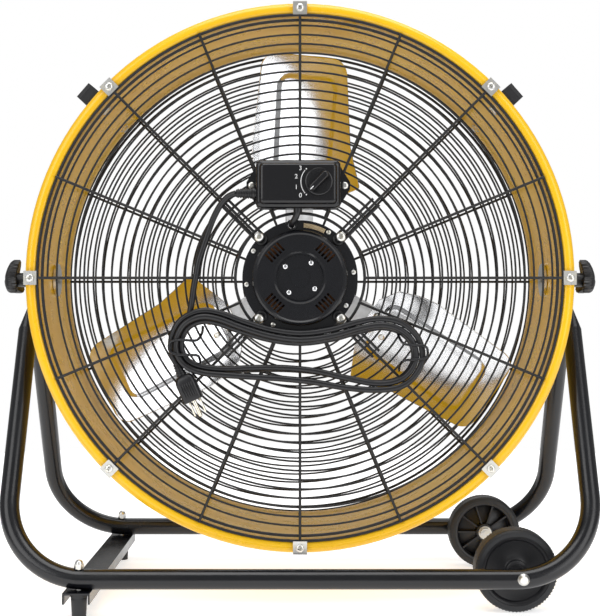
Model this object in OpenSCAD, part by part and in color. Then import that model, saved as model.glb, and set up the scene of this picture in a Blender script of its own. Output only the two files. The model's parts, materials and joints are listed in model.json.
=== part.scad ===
// Tilting drum fan on a wheeled tube stand.
// Frame: origin on the floor under the middle of the stand, +X along the tilt
// axis, +Y the way the air leaves, +Z up. The motor and the cord are at the rear, -Y.
// Drum parts are drawn in a rear-view frame: x right, y up, z out towards the rear.

/* [Drum] */
// Inside radius of the drum wall
drum_r = 300; // [299:0.5:300.5]
// Depth of the drum from rim to rim
drum_depth = 200; // [198:1:202]
// Diameter of the rolled rim bead
bead_d = 15.2; // [14.8:0.1:15.4]
// Height of the tilt axis above the floor
axis_z = 376; // [374:1:380]

/* [Guards] */
// Number of radial wires in each guard, a multiple of eight
spoke_count = 16; // [16:8:24]
// Diameter of the radial wires and the rings
spoke_d = 3.2; // [3:0.1:3.4]
// Diameter of the spiral wire
spiral_d = 2.3; // [2:0.1:2.5]
// Distance between turns of the spiral wire
spiral_pitch = 10.5; // [10.4:0.05:10.6]

/* [Stand] */
// Outer diameter of the stand tube
tube_d = 22.2; // [21.8:0.1:22.4]
// Height of the bottom tubes' centres
tube_z = 44.5; // [44:0.5:46]
// Distance of each bottom tube from the middle
tube_y = 157; // [155:1:160]
// Radius of the wheels, which is also their axle height
wheel_r = 46.5; // [46:0.5:47.5]

/* [Blades] */
// Radius of the blade tips
blade_tip_r = 277; // [272:1:282]
// Pitch of the blades in degrees
blade_pitch = 24; // [20:1:26]

/* [Controls] */
// Width of the switch box
box_w = 96; // [94:1:98]
// Height of the switch box
box_h = 55; // [53:1:57]
// Depth of the switch box cover
box_depth = 28; // [26:1:30]
// Diameter of the speed knob
knob_d = 31; // [28:1:32]

/* [Hidden] */
$fn = 64;

black = [0.05, 0.05, 0.055];
yellow = [0.95, 0.75, 0.03];
zinc = [0.75, 0.76, 0.78];
steel = [0.6, 0.61, 0.62];
copper = [0.72, 0.42, 0.2];
bright = [0.85, 0.86, 0.88];

// Drum section
wall_t = 1.2;
bead_r = bead_d / 2;
bead_c = drum_r + 0.3 + bead_r;
rim_z = drum_depth / 2;
bead_z = rim_z - bead_r;

// Guard planes, measured from the middle of the drum
ring_z = rim_z - 1;
spoke_z = ring_z + 2.7;
guard_face = spoke_z + spoke_d / 2;
spiral_z = spoke_z - spoke_d / 2 - spiral_d / 2 - 0.05;
guard_r = drum_r + 1;
second_ring_r = guard_r - 6;
hub_ring_r = 74;
spiral_r0 = 89.5;
spiral_turns = 19;
hairpin_r = 123;
hairpin_x = 61.5;
hairpin_y = 5;

// Clips over the rim
clip_w = 16;
clip_t = 1.5;
clip_in_r = drum_r + 0.5;
clip_out_r = bead_c + bead_r - 0.2;
clip_z = guard_face + 0.1;

// Motor
motor_r = 58;
motor_front = 20;
motor_flange_z = 97.3;
ring_t = 2.4;
ring_r = 66;
ring_z0 = motor_flange_z + 0.1;
corner_r = 66;
cover_r = 54.4;
cover_top = 113;
hub_recess_r = 26;
hub_recess_z = 109.5;
bearing_r = 16;
bearing_h = 10;
shaft_r = 5.95;
core_r = 30;
core_z0 = 48;
core_h = 30;
cover_screw_r = 21;
cover_screw_angle = 53;

// Blades
hub_z = -4;
blade_t = 1.6;
camber_r = 400;
arm_r = 132;

// Switch box
box_x = -2;
box_y = 105;
plate_t = 1.6;
plate_z = guard_face + 0.2;
cover_z = plate_z + plate_t + 0.1;
box_top = cover_z + box_depth;
knob_x = 21;
knob_y = 106.5;
off_angle = 226;

// Stand
tube_r = tube_d / 2;
tube_wall = 1.5;
lean = atan(tube_y / (axis_z - tube_z));
leg_len = norm([tube_y, axis_z - tube_z]);
bend_r = 92;
leg_x = 327.3;
flat_t = 6;
flat_w = 34.8;
flat_x = drum_r + 20;
flat_len = 45;
leg_top = leg_len - flat_len - 22;
shoulder_r = 6;
channel_x = -242;
channel_w = 30;
channel_h = 12;
channel_t = 2;
channel_len = 352;
wheel_x = 243;
wheel_in = 101.5;
wheel_w = 27;

// Cord
cord_d = 7.2;
cord_route = [
  [-72.6, 95, 117.2], [-82, 91, 115], [-91, 81, 112], [-99, 66, 109.5],
  [-105, 50, 108], [-110, 35, 108], [-115, 20, 108], [-118, 4, 108],
  [-121, -12, 107.6], [-123, -27, 107.2], [-124, -38, 107.2]
];
hank_line = [
  [-139, -76], [-135, -90], [-123.5, -101.5], [-108, -106], [-84, -109], [-54, -110],
  [-24, -111], [6, -113], [36, -118], [66, -123], [98, -124], [117, -118],
  [130, -105], [135, -88], [130, -70], [117, -57], [98, -51], [78, -52],
  [52, -59], [24, -66], [-8, -68], [-38, -63], [-68, -54], [-90, -46],
  [-108, -43], [-123.5, -48], [-135, -60]
];
hank_half_w = 10;
hank_z0 = guard_face + 0.3;
hank_h = 17;
left_hook = [
  [-111, -56, 100], [-111, -63, 114], [-116, -70.5, 123.5], [-128, -70.5, 124],
  [-140, -70.5, 124], [-146.5, -74, 123], [-146.5, -82, 123],
  [-140, -86.5, 124], [-126, -87, 124], [-115, -88, 123.5], [-113, -94, 114],
  [-113, -99, 100]
];
right_hook = [
  [111, -58, 100], [112, -67, 114], [117, -74.5, 123.5], [128, -76, 124],
  [139, -77, 124], [143, -80.5, 123], [143, -88, 123], [139, -91.5, 124],
  [127, -92.5, 124], [117, -93.5, 123.5], [113, -99, 114], [113, -106, 100]
];
plug_at = [-134, -110, 114];
plug_turn = 24;

// Motor lead
lead_route = [
  [-2.5, 78, 117.2], [-3.5, 72, 116.4], [-6.3, 66, 112.6], [-8.9, 61.6, 107],
  [-9.5, 60.5, 100.5]
];

handle_angles = [41, 139];
handle_w = 21;
handle_top = drum_r + 37.5;
handle_half = 80;
handle_screw_z = 68;

// --- helpers -----------------------------------------------------------------

module at_axis() { translate([0, 0, axis_z]) rotate([90, 0, 0]) children(); }

// Along X from the tilt axis, on the right (1) or the left (-1)
module at_pivot(side) {
  translate([0, 0, axis_z]) mirror([side < 0 ? 1 : 0, 0, 0]) rotate([0, 90, 0]) children();
}

module ring_solid(outer, inner, h) {
  difference() {
    cylinder(r = outer, h = h);
    translate([0, 0, -1]) cylinder(r = inner, h = h + 2);
  }
}

module wire_ring(r, d) { rotate_extrude() translate([r, 0]) circle(d = d); }

module pan_screw(head_r, head_h, shank_r, length) {
  cylinder(r = head_r, h = head_h * 0.55);
  translate([0, 0, head_h * 0.55]) cylinder(r1 = head_r, r2 = head_r * 0.6, h = head_h * 0.45);
  translate([0, 0, -length]) cylinder(r = shank_r, h = length + 0.5);
}

function unit(v) = v / norm(v);
function clamp_index(i, n) = min(max(i, 0), n - 1);
function tangent_at(p, i) = unit(p[clamp_index(i + 1, len(p))] - p[clamp_index(i - 1, len(p))]);

// A round tube swept along a list of points
module swept_tube(points, d, sides = 8, up = [0, 0, 1]) {
  n = len(points);
  rings = [for (i = [0 : n - 1])
    let (t = tangent_at(points, i), s = unit(cross(t, up)), u = cross(s, t))
    for (k = [0 : sides - 1])
      let (a = 360 * k / sides) points[i] + d / 2 * (cos(a) * s + sin(a) * u)];
  walls = [for (i = [0 : n - 2], k = [0 : sides - 1], half = [0, 1])
    let (a = i * sides + k, b = i * sides + (k + 1) % sides)
    half == 0 ? [a, b, b + sides] : [a, b + sides, a + sides]];
  start_cap = [[for (k = [sides - 1 : -1 : 0]) k]];
  end_cap = [[for (k = [0 : sides - 1]) (n - 1) * sides + k]];
  polyhedron(rings, concat(walls, start_cap, end_cap), convexity = 4);
}

// A closed outline, drawn counter-clockwise, moved inwards by w
function loop_offset(p, w) = [for (i = [0 : len(p) - 1])
  let (n = len(p), t = unit(p[(i + 1) % n] - p[(i + n - 1) % n])) p[i] + w * [-t[1], t[0]]];

// --- drum --------------------------------------------------------------------

module drum_shell() {
  color(yellow) at_axis() difference() {
    rotate_extrude() difference() {
      union() {
        translate([drum_r, -bead_z]) square([wall_t, 2 * bead_z]);
        for (s = [-1, 1]) translate([bead_c, s * bead_z]) circle(r = bead_r);
      }
      for (s = [-1, 1]) translate([bead_c, s * bead_z]) circle(r = bead_r - wall_t);
    }
    for (a = [0 : 45 : 315], s = [0, 1])
      rotate(a) mirror([0, 0, s]) translate([bead_c, 0, bead_z]) cylinder(r = 2.05, h = bead_d);
    for (a = handle_angles, s = [-1, 1])
      rotate(a) translate([drum_r - 2, 0, s * handle_screw_z]) rotate([0, 90, 0])
        cylinder(r = 2.6, h = 6);
    for (a = [0, 180]) rotate(a) translate([drum_r - 4, 0, 0]) rotate([0, 90, 0])
      cylinder(r = 13.1, h = 8);
  }
}

// Rings and radial wires of one guard, in the rear-view frame
module guard_frame() {
  for (r = [guard_r, second_ring_r, hub_ring_r])
    rotate(180 / spoke_count) translate([0, 0, ring_z]) wire_ring(r, spoke_d + 0.2);
  for (i = [0 : spoke_count - 1])
    rotate(90 + i * 360 / spoke_count) translate([hub_ring_r - 1.3, 0, spoke_z])
      rotate([0, 90, 0]) rotate(180) cylinder(d = spoke_d, h = guard_r - hub_ring_r + 2.4);
}

// Pairs of wires that carry each corner of the motor ring
module hairpins() {
  for (a = [45 : 90 : 315]) rotate(a) {
    for (s = [-1, 1]) translate([hairpin_x, s * hairpin_y, spoke_z]) rotate([0, 90, 0])
      rotate(180) cylinder(d = spoke_d, h = hairpin_r - hairpin_x);
    translate([hairpin_x, 0, spoke_z]) rotate(90) rotate_extrude(angle = 180)
      translate([hairpin_y, 0]) circle(d = spoke_d);
  }
}

module guard_spiral() {
  translate([0, 0, spiral_z]) {
    for (k = [0 : spiral_turns]) rotate_extrude(angle = 180)
      translate([spiral_r0 + k * spiral_pitch, 0]) circle(d = spiral_d);
    for (k = [0 : spiral_turns - 1]) translate([spiral_pitch / 2, 0, 0]) rotate(180)
      rotate_extrude(angle = 180)
        translate([spiral_r0 + (k + 0.5) * spiral_pitch, 0]) circle(d = spiral_d);
  }
}

module rear_guard_frame() { color(black) at_axis() { guard_frame(); hairpins(); } }
module rear_guard_spiral() { color(black) at_axis() guard_spiral(); }

// The front guard's middle is closed by a welded plate
module front_guard_frame() {
  color(black) at_axis() rotate([0, 180, 0]) {
    guard_frame();
    translate([0, 0, ring_z - 0.6]) cylinder(r = hub_ring_r, h = 1.2);
  }
}

module front_guard_spiral() { color(black) at_axis() rotate([0, 180, 0]) guard_spiral(); }

// Places its children at every rim clip: x is the radius, z points out of the drum
module at_clips() {
  at_axis() for (a = [0 : 45 : 315], s = [0, 180]) rotate([0, s, 0]) rotate(a) children();
}

module guard_clips() {
  color(zinc) at_clips() difference() {
    union() {
      translate([clip_in_r, -clip_w / 2, clip_z]) cube([clip_out_r - clip_in_r, clip_w, clip_t]);
      translate([clip_out_r - clip_t, -clip_w / 2, clip_z - 5.2]) cube([clip_t, clip_w, 5.4]);
    }
    translate([bead_c, 0, clip_z - 1]) cylinder(r = 2.2, h = 4);
  }
}

module clip_screws() {
  color(zinc) at_clips() translate([bead_c, 0, clip_z + clip_t]) pan_screw(4.7, 3, 2, 14);
}

// Shouldered bosses through the drum wall: the drum turns on them
module pivot_bosses() {
  color(zinc) for (side = [-1, 1]) at_pivot(side) difference() {
    union() {
      translate([0, 0, drum_r - 3.8]) cylinder(r = 20, h = 2.8);
      translate([0, 0, drum_r - 3.8]) cylinder(r = 13, h = 23.4);
      translate([0, 0, drum_r]) cylinder(r = shoulder_r, h = 31.4);
    }
    translate([0, 0, drum_r - 5]) cylinder(r = 4.05, h = 40);
  }
}

// --- motor -------------------------------------------------------------------

small_screw_angles = [6, 58, 150, 187, 240, 329];

module motor_ring() {
  color(black) at_axis() difference() {
    translate([0, 0, ring_z0]) union() {
      cylinder(r = ring_r, h = ring_t);
      for (a = [45 : 90 : 315]) rotate(a) translate([corner_r, 0, 0]) cylinder(r = 6, h = ring_t);
    }
    translate([0, 0, ring_z0 - 1]) cylinder(r = cover_r + 0.4, h = ring_t + 2);
    for (a = [45 : 90 : 315]) rotate(a) translate([corner_r, 0, ring_z0 - 1])
      cylinder(r = 2.6, h = ring_t + 2);
    for (a = small_screw_angles) rotate(a) translate([61.5, 0, ring_z0 - 1])
      cylinder(r = 1.8, h = ring_t + 2);
    translate([-9.5, 60.5, ring_z0 - 1]) cylinder(r = 4, h = ring_t + 2);
  }
}

module ring_screws() {
  color(zinc) at_axis() {
    for (a = [45 : 90 : 315]) rotate(a) translate([corner_r, 0, guard_face + 0.1])
      pan_screw(5.6, 3.4, 2.5, 5.9);
    for (a = small_screw_angles) rotate(a) translate([61.5, 0, ring_z0 + ring_t])
      pan_screw(3, 2, 1.7, 6);
  }
}

module motor_housing() {
  color(black) at_axis() difference() {
    union() {
      translate([0, 0, motor_front + 2.1]) cylinder(r = motor_r, h = motor_flange_z - motor_front - 2.1);
      translate([0, 0, motor_flange_z - 1.5]) cylinder(r = ring_r - 1, h = 1.5);
    }
    translate([0, 0, motor_front]) cylinder(r = motor_r - 1.5, h = 100);
    for (a = small_screw_angles) rotate(a) translate([61.5, 0, motor_flange_z - 3])
      cylinder(r = 1.75, h = 5);
    translate([-9.5, 60.5, motor_flange_z - 3]) cylinder(r = 4, h = 5);
  }
}

// Slots through the face of the end cover, four groups on the diagonals
module vent_slots() {
  for (a = [45 : 90 : 315], i = [-2 : 2]) rotate(a)
    translate([34.5, i * 4.6 - 1.2, cover_top - 8]) cube([12, 2.4, 12]);
}

module motor_end_cover() {
  color(black) at_axis() difference() {
    union() {
      rotate_extrude() polygon([
        [cover_r - 2, 92], [cover_r, 92], [cover_r, cover_top - 4.5],
        [cover_r - 1.2, cover_top - 1.5], [cover_r - 3.6, cover_top], [51, cover_top],
        [49, cover_top - 1.4], [30, cover_top - 1.4], [28, cover_top],
        [hub_recess_r + 1, cover_top], [hub_recess_r, hub_recess_z],
        [10.5, hub_recess_z], [10.5, hub_recess_z + 1.5], [0, hub_recess_z + 1.5],
        [0, hub_recess_z - 2], [hub_recess_r + 1, hub_recess_z - 2],
        [hub_recess_r + 2.6, cover_top - 3.4], [49.5, cover_top - 3.4],
        [cover_r - 2, cover_top - 6]
      ]);
      translate([0, 0, hub_recess_z - 2 - bearing_h]) ring_solid(19, bearing_r + 0.02, bearing_h + 0.5);
    }
    vent_slots();
    for (i = [0 : 3]) rotate(cover_screw_angle + 90 * i)
      translate([cover_screw_r, 0, hub_recess_z - 5]) cylinder(r = 1.75, h = 10);
  }
}

module end_cover_screws() {
  color(bright) at_axis() for (i = [0 : 3]) rotate(cover_screw_angle + 90 * i)
    translate([cover_screw_r, 0, hub_recess_z]) pan_screw(3.1, 1.8, 1.7, 6);
}

module motor_front_cover() {
  color(steel) at_axis() translate([0, 0, motor_front]) difference() {
    union() {
      cylinder(r = motor_r, h = 2);
      cylinder(r = 19, h = 12);
    }
    translate([0, 0, 2]) cylinder(r = bearing_r + 0.02, h = 12);
    translate([0, 0, -1]) cylinder(r = 9, h = 8);
  }
}

module stator_core() {
  color(steel) at_axis() translate([0, 0, core_z0]) ring_solid(motor_r - 1.6, core_r + 0.6, core_h);
}

module windings() {
  color(copper) at_axis() for (z = [core_z0 - 9, core_z0 + core_h + 9])
    translate([0, 0, z]) rotate_extrude() translate([43.5, 0]) circle(r = 8.7);
}

module bearing() { ring_solid(bearing_r, shaft_r + 0.05, bearing_h); }
module rear_bearing() {
  color(bright) at_axis() translate([0, 0, hub_recess_z - 2.1 - bearing_h]) bearing();
}
module front_bearing() { color(bright) at_axis() translate([0, 0, motor_front + 2.1]) bearing(); }

module motor_shaft() {
  color(steel) at_axis() translate([0, 0, -24]) cylinder(r = shaft_r, h = 24 + hub_recess_z - 3);
}

module rotor_core() {
  color(steel) at_axis() translate([0, 0, core_z0]) ring_solid(core_r, shaft_r + 0.05, core_h);
}

// --- blades ------------------------------------------------------------------

// Blade frame: x along the blade, y towards the leading edge, z along its normal
module in_blade(k) {
  at_axis() translate([0, 0, hub_z]) rotate(90 + 120 * k) rotate([blade_pitch, 0, 0]) children();
}

module rounded_corner(x, y, r) { translate([x, y]) circle(r = r); }

// Flat outline of a blade: wide at the root, round at the tip corners
module blade_outline() {
  polygon([
    [92, -20], [104, -52], [118, -86], [146, -78], [168, -72], [blade_tip_r - 22, -67],
    [blade_tip_r - 6, -62], [blade_tip_r - 1, -48], [blade_tip_r, 0], [blade_tip_r - 1, 34],
    [blade_tip_r - 6, 45], [blade_tip_r - 20, 51], [160, 62], [139, 60], [112, 52], [96, 30]
  ]);
}

module panel_outline(grow = 0) {
  polygon([
    [112 - grow, -36 - grow], [blade_tip_r - 36, -49 - grow], [blade_tip_r - 27 + grow, -42],
    [blade_tip_r - 26 + grow, 20], [blade_tip_r - 34, 28 + grow], [116 - grow, 34 + grow]
  ]);
}

// Thin arched sheet, its middle at height lift
module arched_sheet(lift) {
  translate([0, 0, lift - camber_r]) rotate([0, 90, 0]) difference() {
    cylinder(r = camber_r + blade_t, h = 300);
    translate([0, 0, -1]) cylinder(r = camber_r, h = 302);
  }
}

module blade() {
  difference() {
    intersection() {
      arched_sheet(0);
      translate([0, 0, -40]) linear_extrude(60) blade_outline();
    }
    translate([0, 0, -40]) linear_extrude(60) panel_outline();
    for (x = [104, 122], y = [-10, 10]) translate([x, y, -5]) cylinder(r = 2.6, h = 12);
  }
  difference() {
    intersection() {
      arched_sheet(1.1);
      translate([0, 0, -40]) linear_extrude(60) panel_outline(1.5);
    }
    for (x = [104, 122], y = [-10, 10]) translate([x, y, -5]) cylinder(r = 2.6, h = 12);
  }
}

module blade_1() { color(bright) in_blade(0) blade(); }
module blade_2() { color(bright) in_blade(1) blade(); }
module blade_3() { color(bright) in_blade(2) blade(); }

module blade_hub() {
  color(steel) difference() {
    union() {
      at_axis() translate([0, 0, hub_z - 4]) cylinder(r = 36, h = 5);
      at_axis() translate([0, 0, hub_z - 12]) cylinder(r = 14, h = 26);
      for (k = [0 : 2]) in_blade(k) translate([20, -18, -3.2]) cube([arm_r - 20, 36, 2.5]);
    }
    at_axis() translate([0, 0, hub_z - 20]) cylinder(r = shaft_r + 0.05, h = 50);
    for (k = [0 : 2], x = [104, 122], y = [-10, 10]) in_blade(k)
      translate([x, y, -6]) cylinder(r = 2.6, h = 8);
  }
}

module blade_rivets() {
  color(zinc) for (k = [0 : 2], x = [104, 122], y = [-10, 10]) in_blade(k)
    translate([x, y, 0]) {
      translate([0, 0, -5.2]) cylinder(r = 4, h = 1.8);
      translate([0, 0, -4]) cylinder(r = 2.5, h = 7.5);
      translate([0, 0, 3]) cylinder(r1 = 4.2, r2 = 2.6, h = 1.8);
    }
}

module hub_nut() {
  color(zinc) at_axis() translate([0, 0, hub_z - 18]) difference() {
    cylinder(r = 10.5, h = 5.8, $fn = 6);
    translate([0, 0, -1]) cylinder(r = shaft_r + 0.05, h = 8);
  }
}

// --- switch box --------------------------------------------------------------

ear_x = 53;

module switch_plate() {
  color(black) at_axis() translate([box_x, box_y, plate_z]) difference() {
    linear_extrude(plate_t) polygon([
      [-box_w / 2, -22], [-44, -box_h / 2], [44, -box_h / 2], [box_w / 2, -22],
      [ear_x + 6, -4], [ear_x + 6, 4], [box_w / 2, 22], [44, box_h / 2],
      [-44, box_h / 2], [-box_w / 2, 22], [-ear_x - 6, 4], [-ear_x - 6, -4]
    ]);
    for (s = [-1, 1]) translate([s * ear_x, 0, -1]) cylinder(r = 2.1, h = 5);
  }
}

module box_solid(inset, z0, z1) {
  hull() for (sx = [-1, 1], sy = [-1, 1]) {
    translate([sx * (box_w / 2 - 6), sy * (box_h / 2 - 6), z0])
      cylinder(r = 6 - inset, h = 1, $fn = 24);
    translate([sx * (box_w / 2 - 10), sy * (box_h / 2 - 10.5), z1 - 1])
      cylinder(r = 7 - inset, h = 1, $fn = 24);
  }
}

module switch_cover() {
  color(black) at_axis() difference() {
    translate([box_x, box_y, 0]) difference() {
      box_solid(0, cover_z, box_top);
      box_solid(2.4, cover_z - 1, box_top - 2.4);
    }
    translate([knob_x, knob_y, box_top - 5]) cylinder(r = 5, h = 10);
    translate([box_x - box_w / 2 - 5, box_y - 10, cover_z + 12]) rotate([0, 90, 0])
      cylinder(r = 5.6, h = 12);
    translate([-2.5, box_y - box_h / 2 + 8, cover_z + 12]) rotate([90, 0, 0])
      cylinder(r = 5.1, h = 14);
  }
}

module switch_screws() {
  color(zinc) at_axis() for (s = [-1, 1])
    translate([box_x + s * ear_x, box_y, plate_z + plate_t]) pan_screw(4.2, 2.6, 2, 4.8);
}

module rotary_switch() {
  color(black) at_axis() translate([knob_x, knob_y, 0]) difference() {
    union() {
      translate([-13, -13, box_top - 17]) cube([26, 26, 14.4]);
      translate([0, 0, box_top - 4]) cylinder(r = 4.8, h = 5);
    }
    translate([0, 0, box_top - 12]) cylinder(r = 3.05, h = 20);
  }
}

module switch_spindle() {
  color(steel) at_axis() translate([knob_x, knob_y, box_top - 11.5]) cylinder(r = 3, h = 18);
}

module speed_knob() {
  color(black) at_axis() translate([knob_x, knob_y, box_top + 1.4]) difference() {
    union() {
      cylinder(r = knob_d / 2, h = 3.6);
      translate([0, 0, 3]) cylinder(r1 = knob_d / 2 - 1.5, r2 = knob_d / 2 - 3, h = 2);
      rotate(off_angle) translate([-knob_d / 2 + 2.2, -4.5, 3]) cube([knob_d - 4.4, 9, 11]);
    }
    translate([0, 0, -1]) cylinder(r = 3.02, h = 8);
  }
}

module capacitor() {
  color(zinc) at_axis() translate([-36, box_y - 12, plate_z + plate_t + 1]) cube([34, 18, 18]);
}

module motor_lead() { color(black) at_axis() swept_tube(lead_route, 7.6, 12, [1, 0, 0]); }

module lead_glands() {
  color(black) at_axis() {
    translate([-2.5, box_y - box_h / 2 + 1.5, cover_z + 12]) rotate([90, 0, 0])
      ring_solid(5, 4.5, 5.2);
    translate([-9.5, 60.5, ring_z0 + ring_t + 0.1]) ring_solid(6, 4.6, 3.5);
  }
}

module earth_strap() {
  color([0.85, 0.78, 0.62]) at_axis() translate([0, 0, ring_z0 + ring_t + 2.2])
    rotate(62) rotate_extrude(angle = 24) translate([57.5, 0]) square([5, 1.3]);
}

module cord_gland() {
  color(black) at_axis() translate([box_x - box_w / 2 - 1, box_y - 10, cover_z + 12])
    rotate([0, -90, 0]) difference() {
      union() {
        translate([0, 0, -4]) cylinder(r = 5.5, h = 6);
        translate([0, 0, 0]) cylinder(r = 7, h = 3);
        translate([0, 0, 2.5]) cylinder(r1 = 6.2, r2 = 4.6, h = 19);
      }
      translate([0, 0, -5]) cylinder(r = cord_d / 2, h = 30);
    }
}

module cord_hooks() {
  color(black) at_axis() { swept_tube(left_hook, 3); swept_tube(right_hook, 3); }
}

module handle_profile() {
  polygon([
    [-handle_half, 301.5], [-handle_half, 322], [-handle_half + 5, 331],
    [-handle_half + 14, handle_top], [handle_half - 14, handle_top],
    [handle_half - 5, 331], [handle_half, 322], [handle_half, 301.5],
    [56, 301.5], [56, 318], [50, 326], [-50, 326], [-56, 318], [-56, 301.5]
  ]);
}

module carry_handles() {
  color(black) at_axis() for (a = handle_angles) rotate(a) difference() {
    translate([0, handle_w / 2, 0]) rotate([90, 0, 0]) linear_extrude(handle_w)
      rotate(90) mirror([0, 1]) handle_profile();
    for (s = [-1, 1]) translate([300, 0, s * handle_screw_z]) rotate([0, 90, 0])
      cylinder(r = 2.5, h = 19);
  }
}

module at_handle_screws() {
  at_axis() for (a = handle_angles, s = [-1, 1])
    rotate(a) translate([298.8, 0, s * handle_screw_z]) rotate([0, 90, 0]) children();
}

module handle_screws() {
  color(zinc) at_handle_screws() {
    translate([0, 0, -3.2]) cylinder(r = 4.4, h = 3.2, $fn = 6);
    cylinder(r = 2.45, h = 20);
  }
}

module handle_washers() { color(zinc) at_handle_screws() ring_solid(6, 2.6, 1); }

// --- cord --------------------------------------------------------------------

module power_cord() { color(black) at_axis() swept_tube(cord_route, cord_d, 10); }

module cord_hank() {
  color(black) at_axis() difference() {
    translate([0, 0, hank_z0]) linear_extrude(hank_h) difference() {
      polygon(loop_offset(hank_line, -hank_half_w));
      polygon(loop_offset(hank_line, hank_half_w));
    }
    for (a = [225, 315]) rotate(a) translate([corner_r, 0, hank_z0 - 1]) cylinder(r = 6, h = 5);
  }
}

// Plug frame: z along the plug from the cord to the prongs
module at_plug() {
  at_axis() translate(plug_at) rotate([0, 0, plug_turn]) rotate([90, 0, 0]) children();
}

module plug_body() {
  color(black) at_plug() {
    translate([0, 0, -14]) cylinder(r1 = 4.4, r2 = 6.4, h = 16);
    hull() for (x = [-6, 8], y = [-5.5, 5.5]) {
      translate([x, y, 1.5]) cylinder(r = 3, h = 4, $fn = 24);
      translate([x, y, 8]) cylinder(r = 4.5, h = 24, $fn = 24);
    }
  }
}

module plug_prongs() {
  color(bright) at_plug() {
    for (x = [-4.8, 7.9]) translate([x - 0.75, -5.5, 32.2]) cube([1.5, 6.3, 17]);
    translate([1.5, 5.2, 32.2]) cylinder(r = 2.4, h = 20);
  }
}

// --- stand -------------------------------------------------------------------

// One bent tube in its own plane: x across, y up the slope from the bottom tube
module tube_run(r, top_y) {
  bend_x = leg_x - bend_r;
  translate([-bend_x, 0, 0]) rotate([0, 90, 0]) cylinder(r = r, h = 2 * bend_x);
  for (s = [0, 1]) mirror([s, 0, 0]) {
    translate([bend_x, bend_r, 0]) rotate(-90) rotate_extrude(angle = 90)
      translate([bend_r, 0]) circle(r = r);
    translate([leg_x, bend_r, 0]) rotate([-90, 0, 0]) cylinder(r = r, h = top_y - bend_r);
  }
}

// Pressed-flat ends of the tube, their inner faces at flat_from
module flat_ends(flat_from) {
  for (s = [0, 1]) mirror([s, 0, 0]) {
    hull() {
      translate([leg_x, leg_top - 1, 0]) rotate([-90, 0, 0])
        cylinder(r = tube_r - 0.1, h = 1, $fn = 32);
      translate([flat_from, leg_len - flat_len, -flat_w / 2]) cube([flat_t, 1, flat_w]);
    }
    translate([flat_from, leg_len - flat_len + 0.5, -flat_w / 2])
      cube([flat_t, flat_len - 0.5, flat_w]);
    translate([flat_from, leg_len, 0]) rotate([0, 90, 0]) cylinder(r = flat_w / 2, h = flat_t);
  }
}

module stand_tube(flat_from) {
  difference() {
    translate([0, -tube_y, tube_z]) rotate([90 - lean, 0, 0]) {
      difference() { tube_run(tube_r, leg_top); tube_run(tube_r - tube_wall, leg_top - 5); }
      flat_ends(flat_from);
    }
    for (side = [-1, 1]) at_pivot(side) translate([0, 0, flat_x - 5])
      cylinder(r = shoulder_r + 0.06, h = 30);
    translate([wheel_x, -tube_y - 20, wheel_r]) rotate([-90, 0, 0]) cylinder(r = 4.1, h = 40);
    translate([channel_x, -tube_y, tube_z - 20]) cylinder(r = 3.1, h = 40);
  }
}

module rear_stand_tube() { color(black) stand_tube(flat_x); }
module front_stand_tube() { color(black) mirror([0, 1, 0]) stand_tube(flat_x + flat_t + 0.2); }

channel_top = tube_z - tube_r - 0.1;

module foot_channel() {
  color(black) difference() {
    translate([channel_x - channel_w / 2, -channel_len / 2, channel_top - channel_h])
      cube([channel_w, channel_len, channel_h]);
    translate([channel_x - channel_w / 2 + channel_t, -channel_len / 2 - 1, channel_top - channel_h - 1])
      cube([channel_w - 2 * channel_t, channel_len + 2, channel_h + 1 - channel_t]);
    for (s = [-1, 1]) translate([channel_x, s * tube_y, channel_top - 5]) cylinder(r = 3.1, h = 10);
  }
}

module rubber_feet() {
  color(black) for (s = [-1, 1]) translate([channel_x, s * tube_y, 0]) difference() {
    union() {
      cylinder(r1 = 7.6, r2 = 9, h = channel_top - channel_t - 6);
      translate([0, 0, channel_top - channel_t - 6.1]) cylinder(r1 = 9, r2 = 11.5, h = 6);
    }
    translate([0, 0, channel_top - channel_t - 4.6]) cylinder(r = 6.2, h = 6);
  }
}

module channel_bolts() {
  color(zinc) for (s = [-1, 1]) translate([channel_x, s * tube_y, 0]) {
    translate([0, 0, channel_top - channel_t - 4.2]) cylinder(r = 5.5, h = 4.1, $fn = 6);
    translate([0, 0, channel_top - channel_t - 1]) cylinder(r = 3, h = 29.6);
  }
}

module dome_nuts() {
  color(zinc) for (s = [-1, 1]) translate([channel_x, s * tube_y, tube_z + tube_r + 0.9])
    difference() {
      union() {
        cylinder(r = 5.6, h = 5, $fn = 6);
        translate([0, 0, 5]) intersection() {
          sphere(r = 4.6);
          translate([0, 0, 5 - 0.4]) cube([12, 12, 10], center = true);
        }
      }
      translate([0, 0, -1]) cylinder(r = 3.05, h = 5);
    }
}

// Rear wheel axle frame: z runs from the tube towards the middle of the stand
module at_wheel(s) {
  mirror([0, s < 0 ? 0 : 1, 0]) translate([wheel_x, 0, wheel_r]) rotate([90, 0, 0]) children();
}

module wheel_bolts() {
  color(zinc) for (s = [-1, 1]) at_wheel(s) {
    translate([0, 0, tube_y + tube_r + 0.1]) cylinder(r1 = 6.6, r2 = 4.2, h = 3.6);
    translate([0, 0, wheel_in - 9]) cylinder(r = 4, h = tube_y + tube_r - wheel_in + 10);
  }
}

module wheel_spacers() {
  color(black) for (s = [-1, 1]) at_wheel(s) translate([0, 0, wheel_in + wheel_w + 0.4])
    ring_solid(8, 4.1, tube_y - tube_r - wheel_in - wheel_w - 0.6);
}

module wheel_nuts() {
  color(zinc) for (s = [-1, 1]) at_wheel(s) translate([0, 0, wheel_in - 8]) difference() {
    union() {
      cylinder(r = 7.2, h = 6.4, $fn = 6);
      translate([0, 0, 6]) cylinder(r = 8.5, h = 1.6);
    }
    translate([0, 0, -1]) cylinder(r = 4.05, h = 10);
  }
}

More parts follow.
